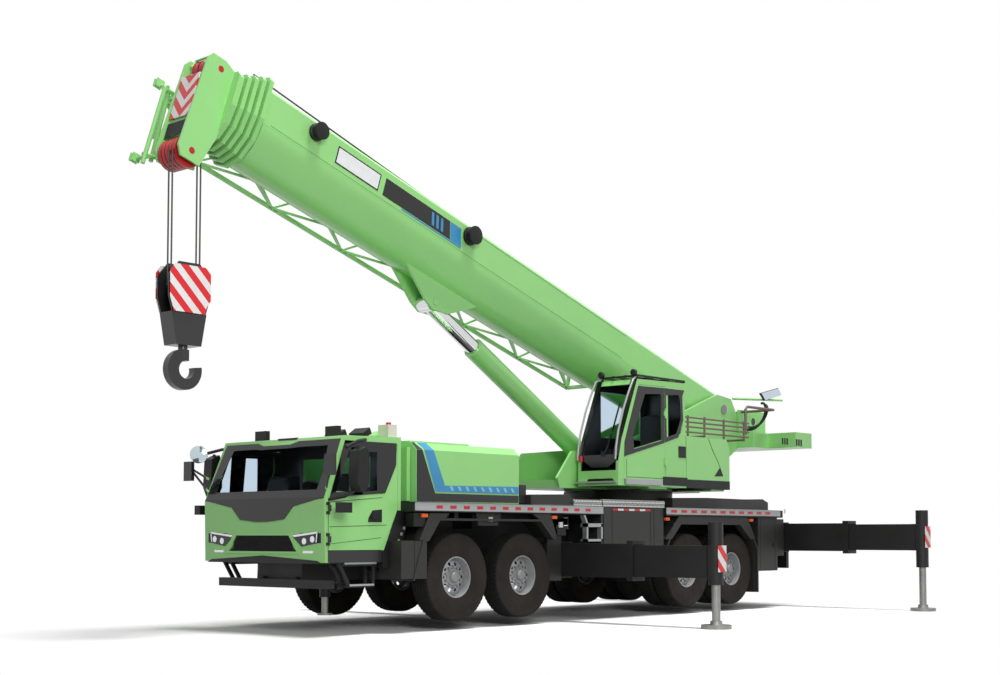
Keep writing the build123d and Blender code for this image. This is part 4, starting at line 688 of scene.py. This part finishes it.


# ---- Superstructure.
# Turntable, cabinet and operator's cab are welded and panelled in the body green, with painted
# shade inside the cab; the slewing ring below is dark, and window surrounds, vents and foot bands
# are black. Sheave red is satin; the cab's panels are the body green outside and near black
# within, as painted shade of the closed cab.
red_paint = finish("red sheave paint, satin", "#B5191C", 0.4, drift=0.1, patch=0.2)
panel_name = "operator's cab panels, green outside and dark trim inside"
operator_paint = finish(panel_name, "#96D982", 0.36, drift=0.025, coat=0.1)
operator_shade_room = [(1, 0, 0, origin_x - 5.44), (0, 1, 0, 0.672), (0, -1, 0, -1.43)]
operator_shade_room += [(0, 0, 1, 2.13), (0, 0, -1, -3.8)]
operator_shade_room += [(-1, 0, 0, -(origin_x - 3.63)), (-1, 0, -0.243, -(origin_x - 3.645 + 0.243 * 2.48))]
operator_shade_room.append((-1, 0, -0.4286, -(origin_x - 3.73 + 0.4286 * 2.83)))
# The inside of the operator's cab is painted near black: painted shade of the closed cab.
over(operator_paint, "#121213", within(operator_paint.node_tree, *operator_shade_room))
paint_nodes(green_paint, "turntable", "superstructure_cabinet")
paint_nodes(operator_paint, "operator_cab", "operator_door")
paint_nodes(glass, "operator_cab_glass", "operator_door_glass")
paint_nodes(dark_trim, "operator_seat")
paint_nodes(engine_iron, "winch_drum")
# Woven cloth is dark and dull, with a weave of 1.5 mm that only shows in light from the side.
seat_cloth = finish("black woven seat cloth over foam", "#28282A", 0.85, grain=0.0015, relief=0.0006)


def signed_power(value, power):
    """The size of a value raised to a power, with its sign kept."""
    return np.sign(value) * np.abs(value) ** power


def cushion(low, high):
    """A crowned pad that fills a box: half sizes times signed powers of the sphere's sines and cosines.

    x = a * |cos(v)|^0.35 * |cos(u)|^0.35, y = b * |cos(v)|^0.35 * |sin(u)|^0.35, z = c * |sin(v)|^0.7.
    """
    low, high = np.asarray(low, float), np.asarray(high, float)
    u = np.linspace(0, 2 * np.pi, 48, endpoint=False)[None]
    v = np.linspace(-0.49 * np.pi, 0.49 * np.pi, 21)[:, None]
    ring = signed_power(np.cos(v), 0.35)
    x, y = ring * signed_power(np.cos(u), 0.35), ring * signed_power(np.sin(u), 0.35)
    unit = np.stack([x, y, signed_power(np.sin(v), 0.7) + 0 * u], -1).reshape(-1, 3)
    first, last = end_faces(v.size, u.size)
    faces = [*map(tuple, grid_faces(v.size, u.size)), first[::-1], last]
    return unit * (high - low) / 2 + (low + high) / 2, faces


cab_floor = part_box("driver_cab_interior")[0].z
operator_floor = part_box("operator_seat")[0].z
for name, body, x0, x1, back, y0, y1, floor_z in [
    ("driver_seat", "carrier", 1.49, 1.85, 1.48, 0.41, 0.87, cab_floor),
    ("passenger_seat", "carrier", 1.49, 1.85, 1.48, -0.87, -0.41, cab_floor),
    ("operator_pad", "superstructure", -5.07, -4.6, -5.08, 0.83, 1.27, operator_floor + 0.06),
]:
    base = cushion((origin_x + x0, y0, floor_z + 0.422), (origin_x + x1, y1, floor_z + 0.5))
    rest = cushion((origin_x + back + 0.002, y0, floor_z + 0.51), (origin_x + back + 0.07, y1, floor_z + 1.1))
    for part_name, shape in ((f"{name}_base", base), (f"{name}_back", rest)):
        piece(part_name, *shape, seat_cloth, body, smooth=60)
cab_side = upright(1.45)
door_outer = [(-3.76, 2.55), (-3.77, 2.78), (-4.14, 3.7), (-4.855, 3.715), (-4.855, 2.815)]
door_inner = [(-4.02, 2.68), (-3.99, 2.9), (-4.32, 3.58), (-4.77, 3.61), (-4.77, 2.85)]
piece("operator_door_border", *film(door_outer, cab_side, -0.004, door_inner), ceramic, "operator_door")
rear_outer = [(-4.865, 2.82), (-4.865, 3.715), (-5.43, 3.72), (-5.37, 3.62), (-5.39, 3.22), (-5.25, 2.925)]
rear_inner = [(-4.92, 2.91), (-4.9, 3.6), (-5.26, 3.63), (-5.3, 3.55), (-5.32, 3.23), (-5.19, 2.985)]
piece("operator_rear_border", *film(rear_outer, cab_side, -0.004, rear_inner), ceramic, "superstructure")
front_line = np.array(in_place([(-3.615, 0.0, 2.48), (-3.7, 0.0, 2.83), (-4.12, 0.0, 3.81)]))
shapes = []
for start, end in zip(front_line, front_line[1:]):
    length = np.linalg.norm(end - start)
    plane = (start, (0.0, 1.0, 0.0), (end - start) / length)
    for y0, y1 in ((0.645, 0.74), (1.33, 1.445)):
        shapes.append(bent([(y0, 0.0), (y1, 0.0), (y1, length), (y0, length)], plane, 0.006))
chin = [(0.645, 2.58), (1.445, 2.58), (1.4, 2.47), (1.25, 2.38), (0.93, 2.38), (0.75, 2.5)]
for rows in (chin, [(0.82, 2.15), (1.38, 2.15), (1.34, 2.2), (0.86, 2.2)]):
    shapes.append(bent(rows, facing(origin_x - 3.6), 0.008))
piece("operator_screen_border", *together(*shapes), ceramic, "superstructure")
beacon = lathe([(0.0, 0.035), (0.09, 0.035)], (origin_x - 3.58, 0.72, 2.48), (0, 0, 1), 20)
piece("operator_beacon", *beacon, red_lens, "superstructure", smooth=30)

# Two pale tubes guard the front screen from sill to roof, and a dark grid with two lamps covers
# the roof; a wiper stands over the screen and a bright bar runs under the chin.
guard_line = [(-3.57, 2.5), (-3.59, 2.7), (-3.65, 2.95), (-3.78, 3.3), (-3.92, 3.58), (-4.05, 3.8)]
guard_paths = []
for y, top_y in ((0.66, 0.74), (1.42, 1.42)):
    guard_paths.append([(x, y, z) for x, z in guard_line] + [(-4.15, top_y, 3.87)])
chin_bar = boxes(*from_axle((-3.59, -3.55, 0.62, 1.44, 2.13, 2.16)))
screen_guard = together(tubes(0.017, 12, *guard_paths), chin_bar)
piece("operator_screen_guard", *screen_guard, rim_paint, "superstructure", smooth=40)
grid = [(-5.45, -4.1, y, y + 0.035, 3.855, 3.885) for y in (0.7, 0.95, 1.2, 1.42)]
grid += [(x - 0.03, x, 0.7, 1.45, 3.85, 3.88) for x in (-4.12, -4.55, -5.0, -5.42)]
grid += [(x - 0.03, x, y, y + 0.03, 3.7, 3.87) for x in (-4.12, -5.42) for y in (0.72, 1.41)]
lamp = [(0.0, 0.05), (0.05, 0.055), (0.06, 0.04)]
lamps = [lathe(lamp, (origin_x - 4.12, y, 3.915), (1, 0, 0), 20) for y in (0.74, 1.4)]
roof_guard = together(boxes(*from_axle(*grid)), *lamps)
piece("operator_roof_guard", *roof_guard, black_plastic, "superstructure", smooth=30)
blade = tubes(0.014, 8, [(-3.66, 1.16, 2.62), (-3.8, 1.2, 3.0), (-3.96, 1.22, 3.42)])
wiper = together(blade, boxes(*from_axle((-3.62, -3.585, 1.12, 1.2, 2.55, 2.63))))
piece("operator_wiper", *wiper, black_plastic, "superstructure", smooth=40)
step = boxes(*from_axle((-4.73, -3.75, 1.452, 1.5, 2.11, 2.2)))
piece("operator_step", *step, bright_metal, "superstructure")
vents = from_axle((-5.49, -4.81, 1.4, 1.465, 2.12, 2.26), (-5.46, -5.25, 1.45, 1.456, 2.59, 2.78))
piece("operator_side_vents", *boxes(*vents), black_plastic, "superstructure")
seam_lines = [[(-3.82, 2.51), (-3.82, 2.2), (-3.828, 2.2), (-3.828, 2.515)]]
seam_lines.append([(-3.82, 2.232), (-4.82, 2.232), (-4.82, 2.224), (-3.82, 2.224)])
seams = together(*(film(line, cab_side, -0.002) for line in seam_lines))
piece("operator_panel_lines", *seams, dark_trim, "operator_door")
low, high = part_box("superstructure_cabinet")
foot = boxes((low.x - 0.003, high.x, low.y, high.y + 0.004, low.z, low.z + 0.145))
arrow = film([(-6.58, 2.32), (-6.32, 2.31), (-6.49, 2.47)], cab_side, -0.004)
sweep = [(-6.13, 2.955), (-6.26, 2.75), (-6.44, 2.54), (-6.58, 2.32)]
sweep += [(-6.59, 2.32), (-6.45, 2.545), (-6.27, 2.76), (-6.14, 2.955)]
foot_band = together(foot, arrow, film(sweep, cab_side, -0.002))
piece("cabinet_foot_band", *foot_band, black_plastic, "superstructure")
ring_x, stud_circle, stud_count = origin_x - 5.5, 0.92, 60
ring_metal = finish("slewing ring steel, phosphated", "#1E1D1C", 0.5, metal=0.4, drift=0.15)
wall_line = [(0.0, 0.94), (0.15, 0.94), (0.15, 0.9), (0.0, 0.9)]
wall = lathe(wall_line, (ring_x, 0.0, 1.87), (0, 0, 1), 96, loop=True)
stud = [(0.0, 0.02), (0.03, 0.02), (0.034, 0.012)]
studs = []
for turn in np.arange(stud_count) * 2 * np.pi / stud_count:
    place = (ring_x + stud_circle * np.cos(turn), stud_circle * np.sin(turn), 2.015)
    studs.append(lathe(stud, place, (0, 0, 1), 6))
piece("slewing_ring", *together(wall, *studs), ring_metal, smooth=30)

# Brown galvanised pipes make the handrails beside the boom's foot; black hydraulic hoses loop
# from the winch block, and a mirror on a bar shows the operator the drum.
pipe_stuff = finish("rail pipe, zinc dulled brown", "#6F6258", 0.55, metal=0.3, drift=0.15)
lengths = [[(-5.6, 1.3, z), (-7.65, 1.3, z)] for z in (3.3, 3.22, 3.14, 3.05)]
posts = [[(x, 1.3, 2.97), (x, 1.3, 3.33)] for x in (-5.75, -6.25, -6.85, -7.5)]
hoop = [(-7.56, 1.3, 3.1), (-7.56, 1.3, 3.55), (-7.62, 1.3, 3.6), (-8.5, 1.3, 3.6), (-8.5, 0.62, 3.6)]
ties = [[(x, 1.3, 3.0), (x, 0.56, 3.0)] for x in (-6.25, -7.5)]
rails = [tubes(0.016, 8, *lengths), tubes(0.02, 8, *posts), tubes(0.025, 10, hoop), tubes(0.02, 8, *ties)]
piece("superstructure_rail", *together(*rails), pipe_stuff, "superstructure", smooth=40)
arc = np.linspace(-0.55 * np.pi, 0.6 * np.pi, 18)
hoses = []
for size, shift in ((1.0, 0.0), (0.82, 0.06)):
    across = 0.9 + 0.25 * np.sin(arc / 2) + shift
    hoses.append(np.column_stack([-8.52 - 0.3 * size * np.cos(arc), across, 3.5 + 0.24 * size * np.sin(arc)]))
piece("winch_hoses", *tubes(0.024, 10, *hoses), black_plastic, "superstructure", smooth=60)
bar = tubes(0.022, 8, [(-8.2, 0.62, 3.83), (-9.4, 0.95, 3.86)])
stalk = tubes(0.014, 8, [(-8.9, 0.85, 3.84), (-8.95, 0.87, 3.93)])
piece("drum_mirror_bar", *together(bar, stalk), green_paint, "superstructure", smooth=40)
mirror_rows = np.array([(-8.73, 3.95), (-9.34, 4.09), (-9.44, 3.97), (-8.87, 3.83)])
grown_rows = (mirror_rows - mirror_rows.mean(axis=0)) * 1.06 + mirror_rows.mean(axis=0)
piece("drum_mirror", *prism(in_place(mirror_rows), 0.9, 0.912), mirror_glass, "superstructure")
piece("drum_mirror_back", *prism(in_place(grown_rows), 0.87, 0.9), black_plastic, "superstructure")
slots = [(x, x + 0.05, 1.48, 1.484, 2.96, 3.08) for x in (-8.7, -8.62, -8.54, -9.2, -9.12, -9.04)]
piece("tail_beam_slots", *boxes(*from_axle(*slots)), dark_trim, "superstructure")
low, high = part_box("winch_drum")
wraps, lay_radius = 34, 0.205
turn = np.linspace(0, 2 * np.pi * wraps, wraps * 24)
lay_x, lay_z = low.x + 0.22 + lay_radius * np.cos(turn), (low.z + high.z) / 2 + lay_radius * np.sin(turn)
wound = np.column_stack([lay_x, np.linspace(-0.5, 0.5, len(turn)), lay_z])
# Greased strands are dark grey with a broken shine.
rope_steel = finish("greased steel wire rope", "#4A4846", 0.5, metal=0.7, drift=0.2, patch=0.02)
piece("winch_rope", *tube(wound, 0.013, 6), rope_steel, "winch_drum", smooth=60)


# ---- Boom.
# Five nested sections of bent and welded plate in the body green; collars, lugs and the head
# are cast or fabricated, sheaves are red and hose reels are black.
green_starts = ("boom_base", "boom_section", "stowed_jib", "lift_barrel")
paint_nodes(green_paint, *(name for name in nodes if name.startswith(green_starts)))
paint_nodes(chrome, "lift_rod")
paint_nodes(hub_iron, "boom_foot_pin")
paint_nodes(red_paint, "head_sheaves")
paint_nodes(rope_steel, "hoist_rope_falls")
foot = np.array(joints["boom_luff"]["pos_m"], float)
along = np.array(joints["telescope_2"]["axis"], float)
rise = np.cross(along, (0.0, 1.0, 0.0))
rise *= np.sign(rise[2])


def on_boom(shape):
    """A shape drawn along the boom, moved to it: point = foot + s * along + y * across + t * rise."""
    points, faces = shape
    return foot + np.asarray(points, float) @ np.array([along, (0.0, 1.0, 0.0), rise]), faces


chevron = finish("red and white chevron sheeting", "#EDEBEA", 0.35, patch=0.2)
tree = chevron.node_tree
place = add(tree, "TexCoord").outputs["Object"]
spot = add(tree, "VectorMath", place, tuple(foot.tolist()), operation="SUBTRACT").outputs[0]
height = add(tree, "VectorMath", spot, tuple(rise.tolist()), operation="DOT_PRODUCT").outputs["Value"]
across = add(tree, "SeparateXYZ", place).outputs["Y"]
shift = add(tree, "Math", across, 0.025, operation="SUBTRACT").outputs[0]
spread = add(tree, "Math", shift, operation="ABSOLUTE").outputs[0]
lean = add(tree, "Math", height, spread, operation="SUBTRACT").outputs[0]
red_bars(chevron, lean, 0.24)
board = boxes((12.085, 12.1, -0.2, 0.2, -0.6, 0.02))
piece("head_board", *on_boom(board), chevron, "boom_section_5")
window = boxes((12.085, 12.09, -0.2, 0.2, -0.87, -0.66))
piece("head_window", *on_boom(window), dark_trim, "boom_section_5")

# The jib's foot frame stands beside the head on its far side: two long tubes and a short one
# between an upper and a lower cross tube, with forked lugs; a guard bar spans the top sheave.
members = [
    (0.03, (12.06, -0.6, -0.02), (12.06, -0.6, -1.13)),
    (0.03, (11.96, -0.66, -0.02), (11.92, -0.66, -1.02)),
    (0.024, (11.71, -0.63, -0.06), (11.9, -0.63, -0.86)),
    (0.028, (11.3, -0.63, -0.8), (12.08, -0.63, -1.0)),
    (0.032, (11.6, -0.63, 0.0), (12.08, -0.63, 0.0)),
    (0.03, (11.9, -0.24, -0.1), (11.9, -0.62, -0.1)),
    (0.026, (12.02, -0.6, 0.02), (12.02, -0.83, 0.1)),
    (0.026, (12.0, -0.6, -1.0), (12.0, -0.9, -0.98)),
]
fork_places = [(11.98, -0.86, 0.06), (11.98, -0.8, 0.06), (11.96, -0.94, -1.03), (11.96, -0.88, -1.03)]
forks = boxes(*((s0, s0 + 0.12, y, y + 0.02, t, t + 0.11) for s0, y, t in fork_places))
foot_frame = together(*(tube(ends, radius) for radius, *ends in members), forks)
piece("jib_foot_frame", *on_boom(foot_frame), green_paint, "boom_section_5", smooth=40)
hoop = [(11.64, 0.3), (11.68, 0.37), (12.0, 0.315), (12.04, 0.2)]
guard_paths = [[(s0, y, t) for s0, t in hoop] for y in (-0.14, 0.14)]
guard_paths.append([(12.0, -0.14, 0.315), (12.0, 0.14, 0.315)])
top_guard = together(*(tube(path, 0.016, 8) for path in guard_paths))
piece("top_sheave_guard", *on_boom(top_guard), green_paint, "boom_section_5", smooth=40)
reel_line = [(0.0, 0.5), (0.02, 1), (0.05, 1), (0.06, 0.85), (0.12, 0.8), (0.13, 1), (0.16, 1), (0.17, 0.4)]
for k, (s0, radius) in enumerate([(10.29, 0.12), (7.09, 0.14)]):
    reel = lathe([(depth, radius * share) for depth, share in reel_line], (s0, 0.42, 0.09), (0, 1, 0), 48)
    piece(f"hose_reel_{k}", *on_boom(reel), black_plastic, "boom_base", smooth=30)
rope_start, rope_end = foot + 1.9 * along + 0.38 * rise, foot + 11.2 * along + 0.56 * rise
piece("hoist_rope_top", *tube([rope_start, rope_end], 0.012, 8), rope_steel, "boom_base", smooth=60)

# A black band with a blue end and slanted blue bars, and a blank white plate, decorate the
# boom's side; two shallow seams run along it where the plates are folded.
# Decal film is smooth and even, a little glossier than the paint under it.
blue_film = finish("blue decal film", "#3D8FC0", 0.35, drift=0.1, patch=0.2)
boom_side = upright(0.42)
band = bent([(7.45, -0.14), (8.9, -0.14), (8.9, 0.13), (7.53, 0.13)], boom_side, -0.003)
plate_edge = bent([(9.0, -0.13), (9.85, -0.13), (9.85, 0.13), (9.0, 0.13)], boom_side, -0.003)
piece("boom_band", *on_boom(together(band, plate_edge)), ceramic, "boom_base")
plate = bent([(9.02, -0.11), (9.83, -0.11), (9.83, 0.11), (9.02, 0.11)], boom_side, -0.005)
piece("boom_plate", *on_boom(plate), lamp_white, "boom_base")
blues = [bent([(7.2, -0.14), (7.44, -0.14), (7.52, 0.13), (7.28, 0.13)], boom_side, -0.003)]
blues.append(bent([(7.2, -0.17), (8.5, -0.17), (8.5, -0.15), (7.2, -0.15)], boom_side, -0.003))
for s0 in (7.62, 7.72, 7.82):
    slant = [(s0, -0.1), (s0 + 0.05, -0.1), (s0 + 0.1, 0.09), (s0 + 0.05, 0.09)]
    blues.append(bent(slant, boom_side, -0.005))
piece("boom_band_blue", *on_boom(together(*blues)), blue_film, "boom_base")
seams = []
for t, s1 in ((-0.205, 11.0), (0.2, 7.0)):
    seams.append(bent([(3.0, t), (s1, t), (s1, t + 0.006), (3.0, t + 0.006)], boom_side, -0.002))
# The fold's own shade is drawn as a darker green, because the real crease is too fine to show.
groove = finish("paint in the shade of a fold", "#5E9550", 0.45, drift=0.05)
piece("boom_seams", *on_boom(together(*seams)), groove, "boom_base")

# A thin skin over the rolled lower shell, smooth where the plate is rolled in one piece.
arc = np.linspace(0.02, np.pi - 0.02, 40)
profile = np.column_stack([0.423 * np.cos(arc), -0.23 - 0.538 * np.sin(arc)])
stations = np.array([0.17, 4.0, 8.0, 11.13])
skin_points = np.concatenate([np.insert(profile, 0, s0, axis=1) for s0 in stations])
skin_faces = grid_faces(len(stations), len(profile), closed=False)
piece("boom_shell_skin", *on_boom((skin_points, skin_faces)), green_paint, "boom_base", smooth=60)


# ---- Hood films and lids.
# The hood carries a black band that climbs to its front edge, with a blue band along it, both
# cut from film and stuck on its side and the chamfer above; sheet lids lie on the hood and a
# green panel closes its front.
hood_side = upright(1.3)
slope = ((origin_x, 1.3, 2.47), (1.0, 0.0, 0.0), (0.0, -0.74, 0.673))
black_line = [(0.71, 2.465), (0.6, 2.465), (0.35, 1.88), (-1.39, 1.88), (-1.39, 1.775), (0.71, 1.76)]
black_top = bent([(0.6, 0.0), (0.71, 0.0), (0.71, 0.148), (0.66, 0.148)], slope, -0.004)
blue_line = [(0.562, 2.465), (0.382, 2.465), (0.16, 1.99), (-1.39, 2.01), (-1.39, 1.9), (0.34, 1.9)]
blue_top = bent([(0.382, 0.0), (0.562, 0.0), (0.598, 0.148), (0.428, 0.148)], slope, -0.004)
piece("hood_band_black", *together(film(black_line, hood_side, -0.003), black_top), ceramic)
piece("hood_band_blue", *together(film(blue_line, hood_side, -0.004), blue_top), blue_film)
slants = []
for x in np.arange(-1.3, 0.0, 0.16):
    slant = [(x, 1.92), (x + 0.05, 1.92), (x + 0.09, 1.985), (x + 0.04, 1.985)]
    slants.append(film(slant, hood_side, -0.006))
pale_film = finish("pale blue decal film", "#8CC4DE", 0.35, drift=0.1, patch=0.2)
piece("hood_band_slants", *together(*slants), pale_film)
front_panel = boxes(*from_axle((0.735, 0.8, -1.2, 1.2, 1.77, 2.5)))
lids = together(both_sides((-0.48, 0.7, 0.6, 1.15, 2.57, 2.595)), front_panel)
piece("hood_lids", *lids, green_paint)


# ---- Hook block.
# Two cast cheeks in black gloss paint carry a board each in red and white stripes, screwed on;
# the hook that swivels below is forged and painted with them.
black_paint = finish("black gloss paint over castings", "#1B1A1A", 0.35, drift=0.15, coat=0.2)
paint_nodes(black_paint, "hook_block")
low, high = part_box("hook_block")
middle_x, board_z, thick = (low.x + high.x) / 2, high.z - 0.04, 0.006
board_line = [(-0.31, -0.05), (-0.24, 0.0), (0.24, 0.0), (0.31, -0.1), (0.31, -0.42), (0.25, -0.6)]
board_line += [(-0.22, -0.6), (-0.25, -0.5), (-0.31, -0.42)]
outline = [(middle_x + x, board_z + z) for x, z in board_line]
boards = together(*(prism(outline, y, y + thick) for y in (high.y, low.y - thick)))
piece("hook_block_boards", *boards, stripes, "hook")


# ---- Studio.
# A pale floor under the floats and a white backdrop; one wide soft lamp overhead and a weak one
# from the front left, so that tops are bright, sides are even and undersides fall dark.
def seen_directly(tree):
    """1 for rays from the camera, off gloss or through glass, 0 for those that only carry light."""
    path = add(tree, "LightPath").outputs
    seen = add(tree, "Math", path["Is Camera Ray"], path["Is Glossy Ray"], operation="MAXIMUM").outputs[0]
    return add(tree, "Math", seen, path["Is Transmission Ray"], operation="MAXIMUM").outputs[0]


reach, floor_z = 90, -0.002
floor_mesh = bpy.data.meshes.new("studio_floor")
corners = [(-reach, -reach), (reach, -reach), (reach, reach), (-reach, reach)]
floor_mesh.from_pydata([(x, y, floor_z) for x, y in corners], [], [(0, 1, 2, 3)])
floor = bpy.data.objects.new("studio_floor", floor_mesh)
bpy.context.scene.collection.objects.link(floor)
floor_stuff = finish("pale studio floor, matt", "#FAFAFA", 0.95, drift=0.01, patch=4.0, relief=0.0, shine=0.0)
tree = floor_stuff.node_tree
spot = add(tree, "TexCoord").outputs["Object"]
oval = add(tree, "VectorMath", spot, (0.1, 0.155, 0.0), operation="MULTIPLY").outputs[0]
away = add(tree, "VectorMath", oval, operation="LENGTH").outputs["Value"]
fade = add(tree, "MapRange", Value=away, From_Min=0.62, From_Max=1.0).outputs[0]
glow = add(tree, "Emission", Color=(1.0, 1.0, 1.0, 1.0), Strength=1.0)
backdrop = add(tree, "MixShader", fade, tree.nodes["Principled BSDF"].outputs[0], glow.outputs[0])
bounce = add(tree, "BsdfDiffuse", Color=(0.3, 0.3, 0.3, 1.0))
shown = add(tree, "MixShader", seen_directly(tree), bounce.outputs[0], backdrop.outputs[0])
tree.links.new(shown.outputs[0], tree.nodes["Material Output"].inputs["Surface"])
floor_mesh.materials.append(floor_stuff)

world = bpy.data.worlds.new("white studio")
bpy.context.scene.world = world
world.use_nodes = True
tree = world.node_tree
tree.nodes.clear()
soft = add(tree, "Background", Color=(1.0, 1.0, 1.0, 1.0), Strength=0.2)
white = add(tree, "Background", Color=(1.0, 1.0, 1.0, 1.0), Strength=1.0)
both = add(tree, "MixShader", seen_directly(tree), soft.outputs[0], white.outputs[0])
add(tree, "OutputWorld", Surface=both.outputs[0])

for name, place, aim, width, power in [
    ("overhead soft lamp", (-2.0, 10.0, 52.0), (0.0, 0.0, 0.0), 18.0, 30400.0),
    ("front left soft lamp", (16.0, 22.0, 10.0), (0.0, 0.0, 3.0), 10.0, 2900.0),
]:
    lamp = bpy.data.lights.new(name, "AREA")
    lamp.shape = "DISK"
    lamp.size = width
    lamp.energy = power
    lamp_object = bpy.data.objects.new(name, lamp)
    bpy.context.scene.collection.objects.link(lamp_object)
    lamp_object.location = place
    aim_line = Vector(aim) - Vector(place)
    lamp_object.rotation_euler = aim_line.to_track_quat("-Z", "Y").to_euler()

# The camera stands at chest height ahead and to the left of the truck and looks slightly up,
# with the lens shifted up too, so that upright edges stay nearly parallel.
camera = bpy.data.objects.new("camera", bpy.data.cameras.new("camera"))
bpy.context.scene.collection.objects.link(camera)
bpy.context.scene.camera = camera
camera.data.sensor_width = 36.0
camera.data.lens = 52.2
camera.data.shift_y = 0.12
camera.data.clip_end = 300.0
camera.location = (17.3761, 15.2642, 1.2992)
camera.rotation_euler = (np.radians(93.08), 0.0, np.radians(131.8568))
bpy.context.scene.view_settings.view_transform = "Standard"
